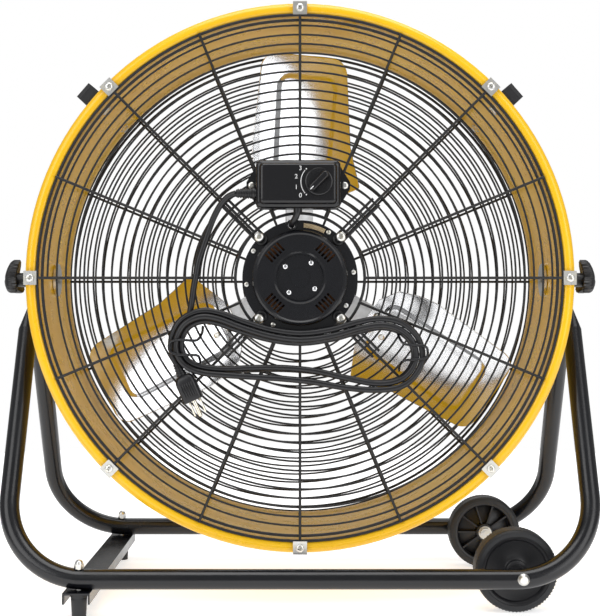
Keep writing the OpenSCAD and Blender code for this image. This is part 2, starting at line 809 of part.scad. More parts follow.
// A wheel on its own axis: the dished face outside, ribs inside
module wheel() {
  difference() {
    union() {
      rotate_extrude() polygon([
        [35, 0], [43, 0], [wheel_r - 1.2, 2.4], [wheel_r, 6], [wheel_r, wheel_w - 6],
        [wheel_r - 1.2, wheel_w - 2.4], [43, wheel_w], [35, wheel_w]
      ]);
      rotate_extrude() polygon([
        [0, 13], [30, 16], [36, 20], [36, 23], [29, 20], [12, 18.5], [12, wheel_w], [0, wheel_w]
      ]);
      cylinder(r = 11, h = 15);
      for (i = [0 : 9]) rotate(i * 36) translate([9, -1.2, 3]) cube([27, 2.4, 14]);
    }
    translate([0, 0, -1]) cylinder(r = 4.06, h = wheel_w + 2);
  }
}

module rear_wheel() { color(black) at_wheel(-1) translate([0, 0, wheel_in]) wheel(); }
module front_wheel() { color(black) at_wheel(1) translate([0, 0, wheel_in]) wheel(); }

// --- tilt clamps -------------------------------------------------------------

clamp_face = flat_x + 2 * flat_t + 0.6;

module clamp_knob(side) {
  at_pivot(side) difference() {
    union() {
      translate([0, 0, clamp_face + 2.2]) cylinder(r = 8.7, h = 14);
      for (a = [180 : 120 : 420]) rotate(side > 0 ? a : a + 180) hull() {
        translate([0, 0, clamp_face + 17]) cylinder(r = 10.5, h = 11.2, $fn = 32);
        translate([16, 0, clamp_face + 10.5]) cylinder(r = 9, h = 11.5, $fn = 32);
      }
    }
    translate([0, 0, clamp_face]) cylinder(r = 4.02, h = 14);
  }
}

module clamp_stud(side) {
  at_pivot(side) {
    translate([0, 0, drum_r + 1]) cylinder(r = 4, h = clamp_face + 13.5 - drum_r - 1);
    translate([0, 0, clamp_face]) cylinder(r = 9, h = 2);
  }
}

module left_clamp_knob() { color(black) clamp_knob(-1); }
module right_clamp_knob() { color(black) clamp_knob(1); }
module left_clamp_stud() { color(zinc) clamp_stud(-1); }
module right_clamp_stud() { color(zinc) clamp_stud(1); }

// --- parts -------------------------------------------------------------------

drum_shell();
rear_guard_frame();
rear_guard_spiral();
front_guard_frame();
front_guard_spiral();
guard_clips();
clip_screws();
pivot_bosses();
motor_ring();
ring_screws();
motor_housing();
motor_end_cover();
end_cover_screws();
motor_front_cover();
stator_core();
windings();
rear_bearing();
front_bearing();
motor_shaft();
rotor_core();
blade_hub();
hub_nut();
blade_1();
blade_2();
blade_3();
blade_rivets();
switch_plate();
switch_cover();
switch_screws();
rotary_switch();
switch_spindle();
speed_knob();
capacitor();
motor_lead();
lead_glands();
earth_strap();
cord_gland();
cord_hooks();
carry_handles();
handle_screws();
handle_washers();
power_cord();
cord_hank();
plug_body();
plug_prongs();
rear_stand_tube();
front_stand_tube();
foot_channel();
rubber_feet();
channel_bolts();
dome_nuts();
wheel_bolts();
wheel_spacers();
wheel_nuts();
rear_wheel();
front_wheel();
left_clamp_knob();
left_clamp_stud();
right_clamp_knob();
right_clamp_stud();
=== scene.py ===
# %% [markdown]
# # A tilting drum fan on a wheeled stand
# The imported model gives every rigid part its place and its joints. This script adds the looks:
# the wound power cord, the moulded and pressed pieces that need soft edges, and a finish for
# every part. All lengths are in metres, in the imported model's own frame: +X along the tilt axis,
# +Y the way the air leaves, +Z up, with the floor at zero.

# %% Load the frame
import json
import math

import bmesh
import bpy
from mathutils import Matrix, Vector


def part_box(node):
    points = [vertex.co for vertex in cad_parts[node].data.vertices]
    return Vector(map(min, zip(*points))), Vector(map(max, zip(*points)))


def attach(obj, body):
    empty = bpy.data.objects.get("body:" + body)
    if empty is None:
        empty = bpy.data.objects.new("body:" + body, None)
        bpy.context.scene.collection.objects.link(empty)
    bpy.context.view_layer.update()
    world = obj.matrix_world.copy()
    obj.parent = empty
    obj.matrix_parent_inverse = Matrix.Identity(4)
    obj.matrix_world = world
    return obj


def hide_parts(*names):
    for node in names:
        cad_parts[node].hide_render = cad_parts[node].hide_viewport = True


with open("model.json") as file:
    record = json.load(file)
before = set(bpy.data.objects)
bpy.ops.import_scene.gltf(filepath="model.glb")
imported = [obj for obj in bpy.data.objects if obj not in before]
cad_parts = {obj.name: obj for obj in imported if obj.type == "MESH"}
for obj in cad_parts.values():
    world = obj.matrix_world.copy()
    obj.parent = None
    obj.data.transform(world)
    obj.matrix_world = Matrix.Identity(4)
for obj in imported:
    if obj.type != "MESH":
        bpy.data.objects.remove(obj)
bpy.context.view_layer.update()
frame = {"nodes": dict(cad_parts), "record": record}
joints = {joint["name"]: joint for joint in frame["record"]["behaviour"]["joints"]}
AXIS = Vector(joints["drum_tilt"]["pos_m"])
MM = 0.001


def add_object(name, data):
    """A new object in the scene."""
    made = bpy.data.objects.new(name, data)
    bpy.context.collection.objects.link(made)
    return made


print("nodes", len(frame["nodes"]), "axis height", round(AXIS.z, 3))


# %% [markdown]
# The drum's own drawing frame is the view from behind: x to the right, y up, and z out of the
# drum towards the person looking at the motor. Measuring the rear of the fan in that frame, in
# millimetres, keeps the numbers short. One function turns such a point into the model's frame.

# %% The drum's drawing frame
def spin(degrees, axis="Z"):
    """A turn about an axis, as a matrix."""
    return Matrix.Rotation(math.radians(degrees), 4, axis)


def shift(x, y, z):
    """A move, as a matrix."""
    return Matrix.Translation((x, y, z))


DRUM_TO_MODEL = Matrix.Translation(AXIS) @ spin(90, "X") @ Matrix.Scale(MM, 4)


def drum(x, y, z):
    """A point given in the rear-view drum frame, in millimetres, as a point of the model."""
    return DRUM_TO_MODEL @ Vector((x, y, z))


def drum_box(node):
    """Lowest and highest corner of a CAD node in the rear-view drum frame, in millimetres."""
    low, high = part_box(node)
    a, b = DRUM_TO_MODEL.inverted() @ low, DRUM_TO_MODEL.inverted() @ high
    return Vector(map(min, a, b)), Vector(map(max, a, b))


GUARD_FACE = drum_box("rear_guard_frame")[1].z
print("guard face", round(GUARD_FACE, 2), "mm behind the tilt axis")

# %% [markdown]
# The fan is seen straight from behind, from a little over one metre behind its rear rim and a
# hand's breadth below the motor. A level camera keeps the legs upright, and a lens of about 69 mm
# on a 36 mm wide sensor gives the flat look of a product picture.

# %% Camera
camera_data = bpy.data.cameras.new("camera")
camera_data.sensor_width = 36
camera_data.lens = 69.0
camera = add_object("camera", camera_data)
camera.location = (0, -1.45, 0.3416)
camera.rotation_euler = (math.radians(90), 0, 0)
bpy.context.scene.camera = camera
print("camera", tuple(camera.location), "lens", camera_data.lens)

# %% [markdown]
# ## The power cord
# A mains lead is a fixed length of round flexible cable. Here it leaves the switch box, hangs
# down beside the motor, and is wound three times round two wire hooks, ending in its plug. It
# could be a mesh tube, but a curve with a round bevel is lighter and keeps its true centreline.
# The free stretch is a short list of points. The turns come from a loop: the three strands lie
# round the middle of one bundle, like the strands of a rope, so they never cut through each
# other.

# %% Cord route
CORD_D = 7.2
cord_route = [
    (-72.6, 95, 117.2), (-82, 91, 115), (-91, 81, 112), (-99, 66, 109.5),
    (-105, 50, 108), (-110, 35, 108), (-115, 20, 108), (-118, 4, 108),
    (-121, -12, 107.6), (-123, -27, 107.2), (-125, -39, 107.1), (-128.5, -51, 107.2),
    (-133.5, -63, 107.4),
]
hank_line = [
    (-140, -76), (-137, -90), (-125.5, -102), (-108, -107), (-84, -109), (-54, -110),
    (-24, -111), (6, -113), (36, -118), (66, -123), (98, -124), (117, -118),
    (130, -105), (135, -88), (130, -70), (117, -57), (98, -51), (78, -52),
    (52, -59), (24, -66), (-8, -68), (-38, -63), (-68, -54), (-90, -46),
    (-108, -43), (-125.5, -48), (-137, -61),
]
cord_tail = [
    (-144.9, -85.5, 113.6), (-143, -91, 113.8), (-139.7, -97.2, 114), (-138.1, -100.8, 114),
]
TURNS = 3
STEPS = 48
STRAND_R = 6  # from the middle of the bundle to the middle of a strand
TWIST_START, TWIST_PER_TURN = 243, 76
BUNDLE_LIFT, HUMP_LIFT, HUMP_R = 9, 3, 28


def smooth_point(points, t, closed=False):
    """The point at parameter t of a smooth curve through points (Catmull-Rom)."""
    i = math.floor(t)
    f = t - i

    def at(k):
        k = k % len(points) if closed else min(max(k, 0), len(points) - 1)
        return Vector(points[k])

    a, b, c, d = at(i - 1), at(i), at(i + 1), at(i + 2)
    bend = 2 * a - 5 * b + 4 * c - d
    return 0.5 * (2 * b + (c - a) * f + bend * f * f + (3 * b - a - 3 * c + d) * f**3)


def bundle_height(x, y):
    """How high the middle of the bundle lies: it humps over the cord that comes in beneath it."""
    crossing = math.hypot(x + 124, y + 49)
    return GUARD_FACE + BUNDLE_LIFT + HUMP_LIFT * math.exp(-((crossing / HUMP_R) ** 2))


def strand_point(p):
    """A point of the wound cord after p turns."""
    t = (p % 1) * len(hank_line)
    middle = smooth_point(hank_line, t, closed=True)
    ahead = smooth_point(hank_line, t + 0.05, closed=True)
    along = (ahead - middle).normalized()
    outward = Vector((along.y, -along.x))
    turn = math.radians(TWIST_START - TWIST_PER_TURN * p)
    slack = 0.8 if middle.y < -90 else 0
    spread = 1 + slack * max(0, 1 - (middle.x / 85) ** 2)
    place = middle + outward * STRAND_R * spread * math.cos(turn)
    return Vector((place.x, place.y, bundle_height(*middle) + STRAND_R * math.sin(turn)))


wound = [strand_point(k / STEPS) for k in range(1, TURNS * STEPS)]
centreline = [Vector(p) for p in cord_route] + wound[::2] + [Vector(p) for p in cord_tail]
fine = [smooth_point(centreline, k / 4) for k in range(4 * (len(centreline) - 1) + 1)]
cord_points = [drum(*p) for p in fine]
cord_length = sum((b - a).length for a, b in zip(cord_points, cord_points[1:]))
print("cord length", round(cord_length, 3), "m in", len(cord_points), "points")

# %% The cord as a curve
def tube_curve(name, points, radius, sides=4):
    """A round tube along points of the model; each point of its spline carries the thickness."""
    data = bpy.data.curves.new(name, "CURVE")
    data.dimensions = "3D"
    data.bevel_depth = 1
    data.bevel_resolution = sides
    data.use_fill_caps = True
    spline = data.splines.new("POLY")
    spline.points.add(len(points) - 1)
    for slot, point in zip(spline.points, points):
        slot.co = (*point, 1)
        slot.radius = radius
    spline.use_smooth = True
    return add_object(name, data)


cord = tube_curve("power_cord_flex", cord_points, CORD_D / 2 * MM)
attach(cord, "drum")
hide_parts("power_cord", "cord_hank")
print(cord.name, len(cord_points), "points")

# %% [markdown]
# ## Shader maths
# A finish is a small sum: a base value, plus a little noise, times a mask. Writing that with
# nodes takes many lines, so one class wraps a socket and gives it arithmetic: an expression on
# values adds the Math nodes it needs. Colours and vectors go through Mix and Vector Math instead,
# because a Math node would turn a colour grey. One method makes every other kind of node.

# %% A socket that can do sums
class Wire:
    """An output socket of a material's node tree, with arithmetic on it."""

    def __init__(self, tree, socket):
        self.tree = tree
        self.socket = socket

    def node(self, kind, settings=None, inputs=None, output=0):
        """Adds a node: its settings first, then the values or wires of its sockets."""
        made = self.tree.nodes.new(kind)
        settings = dict(settings or {})
        stops = settings.pop("stops", None)
        for name, value in settings.items():
            setattr(made, name, value)
        if stops:
            for element, (place, shade) in zip(self._elements(made, len(stops)), stops):
                element.position = place
                element.color = (shade, shade, shade, 1)
        for key, value in (inputs or {}).items():
            if isinstance(value, Wire):
                self.tree.links.new(value.socket, made.inputs[key])
            else:
                made.inputs[key].default_value = value
        return Wire(self.tree, made.outputs[output])

    @staticmethod
    def _elements(ramp, count):
        elements = ramp.color_ramp.elements
        while len(elements) < count:
            elements.new(0.5)
        return list(elements)

    def _is_vector(self):
        return self.socket.type == "VECTOR"

    def _sum(self, operation, a, b):
        if self._is_vector():
            if operation == "MULTIPLY" and not isinstance(b, (Wire, tuple)):
                return self.node("ShaderNodeVectorMath", {"operation": "SCALE"}, {0: a, "Scale": b})
            return self.node("ShaderNodeVectorMath", {"operation": operation}, {0: a, 1: b})
        return self.node("ShaderNodeMath", {"operation": operation}, {0: a, 1: b})

    def __add__(self, other):
        return self._sum("ADD", self, other)

    def __sub__(self, other):
        return self._sum("SUBTRACT", self, other)

    def __rsub__(self, other):
        return self._sum("SUBTRACT", other, self)

    def __mul__(self, other):
        return self._sum("MULTIPLY", self, other)

    def __truediv__(self, other):
        return self._sum("DIVIDE", self, other)

    def __pow__(self, other):
        return self._sum("POWER", self, other)

    __radd__, __rmul__ = __add__, __mul__

    def noise(self, scale, detail=3.0, roughness=0.5, lump=0.5):
        """Noise of `scale` lumps a metre at this position, centred on zero."""
        inputs = {"Vector": self, "Scale": scale, "Detail": detail, "Roughness": roughness}
        return self.node("ShaderNodeTexNoise", {}, inputs) - lump

    def wave(self):
        """The sine of this value, as 0 to 1."""
        return self.node("ShaderNodeMath", {"operation": "SINE"}, {0: self}) * 0.5 + 0.5

    def ramp(self, *stops):
        """Maps this value through (place, shade) stops."""
        return self.node("ShaderNodeValToRGB", {"stops": stops}, {0: self})

    def limit(self, low, high):
        return self.node("ShaderNodeClamp", {}, {"Value": self, "Min": low, "Max": high})

    def axis(self, name):
        """The X, Y or Z part of a position."""
        return self.node("ShaderNodeSeparateXYZ", {}, {0: self}, output="XYZ".index(name))


def blend_colours(mask, first, second):
    """A colour that goes from first to second as mask goes from 0 to 1."""
    made = mask.tree.nodes.new("ShaderNodeMix")
    made.data_type = "RGBA"
    mask.tree.links.new(mask.socket, made.inputs[0])
    for socket, value in ((made.inputs[6], first), (made.inputs[7], second)):
        if isinstance(value, Wire):
            mask.tree.links.new(value.socket, socket)
        else:
            socket.default_value = (*value, 1)
    return Wire(mask.tree, made.outputs[2])


print("one class for every node")

# %% [markdown]
# ## Finishes
# Every finish starts from the place of a surface point in the model's frame, in metres, so its
# grain has a true size on every part. A picture wrapped round the part would need unwrapping; a
# procedural finish does not. Each one ends in the same shader, with the detail going to colour,
# roughness and bump.

# %% How a finish starts and ends
def screen_colour(red, green, blue):
    """A colour picked on a screen, 0 to 255, as the shader's linear values."""
    return tuple(
        ((c / 255 + 0.055) / 1.055) ** 2.4 if c > 10 else c / 255 / 12.92 for c in (red, green, blue)
    )


def start_finish(name):
    """A new material, and the place of a surface point in it."""
    material = bpy.data.materials.new(name)
    material.use_nodes = True
    material.node_tree.nodes.clear()
    return material, Wire(material.node_tree, None).node("ShaderNodeTexCoord", output="Object")


def end_finish(material, colour, roughness, metallic=0.0, height=None, depth=0.0, coat=0.0):
    """Joins the values and wires to one shader; one unit of height stands depth metres proud."""
    tree = material.node_tree
    blank = Wire(tree, None)
    inputs = {
        "Base Color": colour if isinstance(colour, Wire) else (*colour, 1),
        "Roughness": roughness,
        "Metallic": metallic,
        "Coat Weight": coat,
        "Coat Roughness": 0.06,
    }
    if height is not None:
        inputs["Normal"] = blank.node("ShaderNodeBump", {}, {"Height": height, "Distance": depth})
    shader = blank.node("ShaderNodeBsdfPrincipled", {}, inputs)
    tree.links.new(shader.socket, tree.nodes.new("ShaderNodeOutputMaterial").inputs["Surface"])
    return material


print("finishes measure the surface in metres")

# %% [markdown]
# Powder coat is paint that was sprayed on dry and melted in an oven. It is glossy, with a faint
# orange peel a millimetre or two across, and it thins a little where it flowed. Dust dulls it in
# soft patches. The drum's yellow and the stand's black are the same sum with other numbers.

# %% Powder coat
def powder_coat(name, colour, deeper, roughness, coat):
    """Oven-baked paint: a slow drift between two colours, soft dull patches, and orange peel."""
    material, place = start_finish(name)
    drift = place.noise(7, 3) * 1.6 + 0.5
    dust = (place.noise(23, 5, 0.65) * 3 + 0.3).limit(0, 1)
    peel = place.noise(620, 2) + place.noise(2400, 2) * 0.25
    return end_finish(
        material,
        blend_colours(drift.limit(0, 1), colour, deeper),
        roughness + dust * 0.09 + place.noise(900, 2) * 0.05,
        height=peel,
        depth=0.00006,
        coat=coat,
    )


yellow_coat = powder_coat(
    "yellow_coat", screen_colour(246, 196, 6), screen_colour(236, 180, 4), 0.26, 0.25
)
black_coat = powder_coat(
    "black_coat", screen_colour(14, 15, 20), screen_colour(9, 10, 14), 0.2, 0.0
)
wire_coat = powder_coat(
    "wire_coat", screen_colour(16, 16, 19), screen_colour(10, 10, 12), 0.34, 0.0
)
print("paints", yellow_coat.name, black_coat.name, wire_coat.name)

# %% [markdown]
# Bare metals differ mostly in how they scatter light. Zinc plate is cloudy, with a faint blue and
# yellow bloom from its passivation bath. Turned steel has fine rings or lines. The blades are
# rolled alloy sheet: almost a mirror, with slow ripples left by the press and hair-fine rolling
# lines.

# %% Bare metals
def bare_metal(name, colour, bloom, roughness, cloud, grain, ripple, ripple_depth):
    """Metal with a tinted bloom, cloudy roughness and ripples in its surface."""
    material, place = start_finish(name)
    clouds = place.noise(cloud, 4, 0.6)
    fine = place.noise(grain, 3, 0.6)
    return end_finish(
        material,
        blend_colours((clouds * 2.4 + 0.4).limit(0, 1), colour, bloom),
        (roughness + clouds * 0.12 + fine * 0.1).limit(0.04, 0.9),
        metallic=1.0,
        height=place.noise(ripple, 2) + fine * 0.05,
        depth=ripple_depth,
    )


zinc = bare_metal("zinc", (0.74, 0.75, 0.76), (0.78, 0.74, 0.62), 0.3, 180, 1500, 260, 0.00008)
steel = bare_metal("steel", (0.56, 0.57, 0.58), (0.44, 0.44, 0.45), 0.34, 90, 1800, 300, 0.00006)
bright_steel = bare_metal(
    "bright_steel", (0.78, 0.79, 0.8), (0.7, 0.7, 0.72), 0.2, 120, 1500, 300, 0.00004
)
plug_metal = bare_metal(
    "plug_metal", (0.83, 0.8, 0.72), (0.76, 0.68, 0.5), 0.22, 200, 1600, 300, 0.00004
)
print("metals", zinc.name, steel.name, bright_steel.name, plug_metal.name)

# %% The blades' alloy
def blade_finish(turn):
    """Rolled alloy sheet for the blade that stands at this angle: rolling lines run along it."""
    material, place = start_finish(f"blade_alloy_{round(math.degrees(turn)) % 360}")
    across = place.axis("X") * math.sin(turn) - (place - tuple(AXIS)).axis("Z") * math.cos(turn)
    lines = across.node(
        "ShaderNodeTexNoise", {"noise_dimensions": "1D"}, {"W": across, "Scale": 2600, "Detail": 2}
    ) - 0.5
    slow = place.noise(9, 2)
    return end_finish(
        material,
        blend_colours((slow * 2 + 0.5).limit(0, 1), (0.88, 0.885, 0.9), (0.78, 0.79, 0.81)),
        (0.17 + lines * 0.06 + place.noise(40, 4) * 0.05).limit(0.05, 0.5),
        metallic=1.0,
        height=slow + lines * 0.002,
        depth=0.0011,
    )


blade_angles = {"blade_1": 90, "blade_2": 210, "blade_3": 330}
blade_finishes = {node: blade_finish(math.radians(angle)) for node, angle in blade_angles.items()}
print("blade finishes", len(blade_finishes))

# %% [markdown]
# The coil ends show through the vent slots as copper wire. One wave running round the motor's
# axis stands for the wires lying side by side. The stator and the rotor are stacks of thin
# sheets, so their wave runs along the axis. The lacquer on both is only a soft gloss. In the low
# part of each wave the colour darkens: painted shade between the wires, and between the sheets
# partly their dark joints, partly painted shade.

# %% Copper and stacked sheet
def striped_metal(name, colour, hollow_shade, stripe, around):
    """Metal in fine stripes, either wires round the axis or sheets along it, with painted shade in the
    hollows.
    """
    material, place = start_finish(name)
    off_axis = place - tuple(AXIS)
    run = off_axis.axis("Y")
    if around:
        height, width = off_axis.axis("Z"), off_axis.axis("X")
        run = (height * height + width * width) ** 0.5 + off_axis.axis("Y") * 0.6
    wave = (run * (math.tau / stripe)).wave()
    # The low part of each wave sinks in the bump and takes the dark colour: painted shade in the hollows.
    return end_finish(
        material,
        blend_colours((wave + place.noise(300, 3) * 0.6).limit(0, 1), hollow_shade, colour),
        0.32 + place.noise(700, 3) * 0.12,
        metallic=0.9,
        height=wave,
        depth=stripe * 0.25,
    )


# The second colour of each is the painted shade in the hollows; between the sheets it is partly their dark
# joints too.
copper = striped_metal("copper", (0.78, 0.36, 0.16), (0.2, 0.07, 0.03), 0.0011, True)
stacked_steel = striped_metal(
    "stacked_steel", (0.42, 0.42, 0.43), (0.12, 0.12, 0.12), 0.0008, False
)
print("stripes", copper.name, stacked_steel.name)

# %% [markdown]
# Moulded plastic and rubber are dark, and lit mostly by their gloss. Plastic carries a fine spark
# texture from its mould. The cord's sheath is smoother and a little waxy. Tyres are dull, with
# lighter scuffs. One function makes all three, and white ink is the same function in white.

# %% Plastics and rubbers
def moulded(name, colour, scuffed, roughness, grain, depth, scuff_lift):
    """Plastic or rubber: fine grain, with patches scuffed a little lighter and duller."""
    material, place = start_finish(name)
    scuffs = (place.noise(60, 5, 0.7) * 4 - 0.4).limit(0, 1)
    return end_finish(
        material,
        blend_colours(scuffs * scuff_lift, colour, scuffed),
        roughness + scuffs * 0.12 + place.noise(grain, 2) * 0.06,
        height=place.noise(grain, 3, 0.6),
        depth=depth,
    )


gloss_plastic = moulded(
    "gloss_plastic", screen_colour(17, 17, 20), screen_colour(34, 34, 38), 0.2, 700, 0.00003, 0.5
)
satin_plastic = moulded(
    "satin_plastic", screen_colour(21, 21, 24), screen_colour(40, 40, 44), 0.38, 1400, 0.00005, 0.5
)
cord_sheath = moulded(
    "cord_sheath", screen_colour(18, 18, 21), screen_colour(34, 34, 38), 0.33, 800, 0.00004, 0.4
)
tyre_rubber = moulded(
    "tyre_rubber", screen_colour(25, 26, 29), screen_colour(52, 52, 56), 0.52, 1100, 0.00009, 0.7
)
white_ink = moulded("white_ink", (0.8, 0.8, 0.8), (0.6, 0.6, 0.6), 0.5, 900, 0.00001, 0.5)
print("moulded", gloss_plastic.name, satin_plastic.name, cord_sheath.name, tyre_rubber.name)

# %% [markdown]
# The earth strap is a flat braid of tinned wires in a cotton cover. Two waves that cross at an
# angle give the over and under of a braid; where both are high, a strand comes up. Where the
# weave is low the colour turns dark brown: painted shade between the strands.

# %% Braid
def braid(name, strand):
    """A flat braid with strands this many metres wide."""
    material, place = start_finish(name)
    across, up = place.axis("X"), place.axis("Z")

    def ridges(run):
        return (run * (math.tau / strand)).wave()

    weave = ridges(across + up * 0.35) * ridges(up * 0.9 - across * 0.3)
    # Low in the weave the colour goes dark brown: painted shade between the strands.
    strand_shade = (weave + place.noise(400, 2) * 0.5).limit(0, 1)
    return end_finish(
        material,
        blend_colours(strand_shade, (0.28, 0.2, 0.1), (0.72, 0.6, 0.4)),
        0.72 + place.noise(900, 2) * 0.1,
        height=weave,
        depth=0.0003,
    )


strap_braid = braid("strap_braid", 0.0016)
print("braid", strap_braid.name)

# %% [markdown]
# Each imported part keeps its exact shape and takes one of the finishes. A table from finish to
# parts is easy to check against the real object, and the loop reports any part that was
# forgotten.

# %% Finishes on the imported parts
part_finishes = {
    yellow_coat: ["drum_shell"],
    wire_coat: ["rear_guard_frame", "rear_guard_spiral", "front_guard_frame", "front_guard_spiral"],
    black_coat: [
        "motor_ring", "motor_housing", "motor_end_cover", "switch_plate", "rear_stand_tube",
        "front_stand_tube", "foot_channel",
    ],
    zinc: [
        "guard_clips", "clip_screws", "pivot_bosses", "ring_screws", "blade_rivets", "hub_nut",
        "switch_screws", "handle_screws", "handle_washers", "channel_bolts", "dome_nuts",
        "wheel_bolts", "wheel_nuts", "left_clamp_stud", "right_clamp_stud", "capacitor",
    ],
    steel: ["motor_front_cover", "blade_hub", "switch_spindle", "motor_shaft"],
    bright_steel: ["end_cover_screws", "rear_bearing", "front_bearing"],
    stacked_steel: ["stator_core", "rotor_core"],
    copper: ["windings"],
    plug_metal: ["plug_prongs"],
    satin_plastic: [
        "carry_handles", "left_clamp_knob", "right_clamp_knob", "wheel_spacers", "rotary_switch",
        "lead_glands", "cord_gland",
    ],
    gloss_plastic: ["switch_cover", "speed_knob"],
    cord_sheath: ["motor_lead", "plug_body", "cord_hooks"],
    tyre_rubber: ["rubber_feet", "rear_wheel", "front_wheel"],
    strap_braid: ["earth_strap"],
}


def wear(piece, finish):
    """Gives the whole of a piece one finish."""
    if not piece.material_slots:
        piece.data.materials.append(finish)
    for slot in piece.material_slots:
        slot.material = finish


for finish, nodes in part_finishes.items():
    for node in nodes:
        wear(frame["nodes"][node], finish)
for node, finish in blade_finishes.items():
    wear(frame["nodes"][node], finish)
wear(cord, cord_sheath)
finished = set(sum(part_finishes.values(), [])) | set(blade_finishes) | {"power_cord", "cord_hank"}
print("without a finish:", sorted(set(frame["nodes"]) - finished))

# %% [markdown]
# ## Moulded and pressed pieces
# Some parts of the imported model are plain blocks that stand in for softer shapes. Those are built
# again here as meshes. Most of them are stacks of outlines, like contour lines on a map, joined
# by quads. A cube with a bevel would be quicker but has the same round on every edge, while a
# stack can give each edge its own.

# %% Building from outlines
def build(name, matrix, points, faces, finish, body, slot, *nodes):
    """A smooth mesh piece in the model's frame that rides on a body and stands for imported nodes."""
    mesh = bpy.data.meshes.new(name)
    mesh.from_pydata([matrix @ Vector(p) for p in points], [], faces)
    mesh.update()
    return dress(add_object(name, mesh), finish, body, slot, *nodes)


def dress(made, finish, body, slot, *nodes):
    """Finish, body and the nodes it stands for; slot is not used."""
    if made.type == "MESH":
        made.data.shade_smooth()
        made.data.set_sharp_from_angle(angle=math.radians(38))
    wear(made, finish)
    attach(made, body)
    if nodes:
        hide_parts(*nodes)
    return made


def rounded_outline(centre, half, radius, z, steps=6):
    """A rectangle with round corners at height z, counter-clockwise."""
    outline = []
    for corner, (sx, sy) in enumerate(((1, 1), (-1, 1), (-1, -1), (1, -1))):
        for step in range(steps + 1):
            a = math.radians(90 * corner + 90 * step / steps)
            outline.append((
                centre[0] + sx * (half[0] - radius) + radius * math.cos(a),
                centre[1] + sy * (half[1] - radius) + radius * math.sin(a),
                z,
            ))
    return outline


def stack(outlines, close_start=True, close_end=True):
    """Joins outlines of equal length by quads; returns points and faces."""
    count = len(outlines[0])
    points = [p for outline in outlines for p in outline]
    faces = []
    for level in range(len(outlines) - 1):
        for i in range(count):
            a, b = level * count + i, level * count + (i + 1) % count
            faces.append((a, b, b + count, a + count))
    if close_start:
        faces.append(tuple(reversed(range(count))))
    if close_end:
        faces.append(tuple(range(len(points) - count, len(points))))
    return points, faces


def join(*parts):
    """Several (points, faces) as one."""
    points, faces = [], []
    for part_points, part_faces in parts:
        start = len(points)
        points += part_points
        faces += [tuple(i + start for i in face) for face in part_faces]
    return points, faces


def turned(profile, sides=48):
    """The outlines of a turned part, from (radius, height) pairs."""
    ring = [(math.cos(math.tau * i / sides), math.sin(math.tau * i / sides)) for i in range(sides)]
    return [[(r * c, r * s, z) for c, s in ring] for r, z in profile]


print("outline tools ready")

# %% [markdown]
# The fan blades are pressed from sheet: an arched leaf with round tip corners, and a wide pan
# raised in its middle that keeps it from fluttering. The pan's soft shoulder is what draws the
# bright line round it. A grid of points, bent by one height function, gives that shoulder a true
# slope, where a bump in the finish would vanish at the edge.

# %% Blade shape
BLADE_ROOT, BLADE_TIP, TIP_ROUND, ARCH_R = 92.6, 277.0, 20.0, 400.0
SHEET_T, PAN_LIFT, PAN_CORNER = 1.6, 1.9, 14
BLADE_PITCH, BLADE_PLANE = 24, -4
low_edge = [(92, -20), (104, -52), (116, -84), (119, -86), (146, -78), (168, -72), (257, -67)]
high_edge = [(92, -19), (96, 30), (112, 52), (139, 60), (160, 62), (257, 51)]


def edge_at(points, x, inward):
    """The blade's edge at a distance from the axis, with a round corner at the tip."""
    for (x0, y0), (x1, y1) in zip(points, points[1:]):
        if x <= x1:
            return y0 + (y1 - y0) * (x - x0) / (x1 - x0)
    past = min(x - points[-1][0], TIP_ROUND - 0.01)
    return points[-1][1] + inward * (TIP_ROUND - math.sqrt(TIP_ROUND**2 - past**2))


def pan_height(x, y):
    """How far the pan lifts the sheet here: nothing outside it, PAN_LIFT inside."""
    along = min(x - 110, 250 - x)
    across = min(y + 36 + (x - 112) * 0.1, 34 - (x - 116) * 0.047 - y)
    inside = min(along, across)
    if along < PAN_CORNER and across < PAN_CORNER:
        inside = PAN_CORNER - math.hypot(PAN_CORNER - along, PAN_CORNER - across)
    step = min(max(inside / 6 + 0.5, 0), 1)
    return PAN_LIFT * step * step * (3 - 2 * step)


def blade_sheet(columns=130, rows=100):
    """The blade's outer face as a grid of points and faces."""
    points = []
    for i in range(columns + 1):
        share = i / columns
        x = BLADE_ROOT + (BLADE_TIP - BLADE_ROOT) * (share + 0.035 * math.sin(math.tau * share))
        low, high = edge_at(low_edge, x, 1), edge_at(high_edge, x, -1)
        for j in range(rows + 1):
            y = low + (high - low) * j / rows
            arch = math.sqrt(ARCH_R**2 - y * y) - ARCH_R
            points.append((x, y, arch + SHEET_T + pan_height(x, y)))
    wide = rows + 1
    faces = [
        (i * wide + j, (i + 1) * wide + j, (i + 1) * wide + j + 1, i * wide + j + 1)
        for i in range(columns) for j in range(rows)
    ]
    return points, faces


for k, node in enumerate(("blade_1", "blade_2", "blade_3")):
    matrix = DRUM_TO_MODEL @ shift(0, 0, BLADE_PLANE) @ spin(90 + 120 * k) @ spin(BLADE_PITCH, "X")
    pressed = build(
        f"pressed_{node}", matrix, *blade_sheet(), blade_finishes[node], "rotor", "blade_alloy", node
    )
    sheet = pressed.modifiers.new("sheet thickness", "SOLIDIFY")
    sheet.thickness = SHEET_T * MM
    sheet.offset = -1
print("blade points", len(pressed.data.vertices))

# %% [markdown]
# The switch box is a folded steel cover with a raised, round-edged front. Its front edge steps in
# to a low ledge, and the raised panel stands out of that. The skin gets its thickness from a
# Solidify modifier, so the inside stays hollow round the switch.

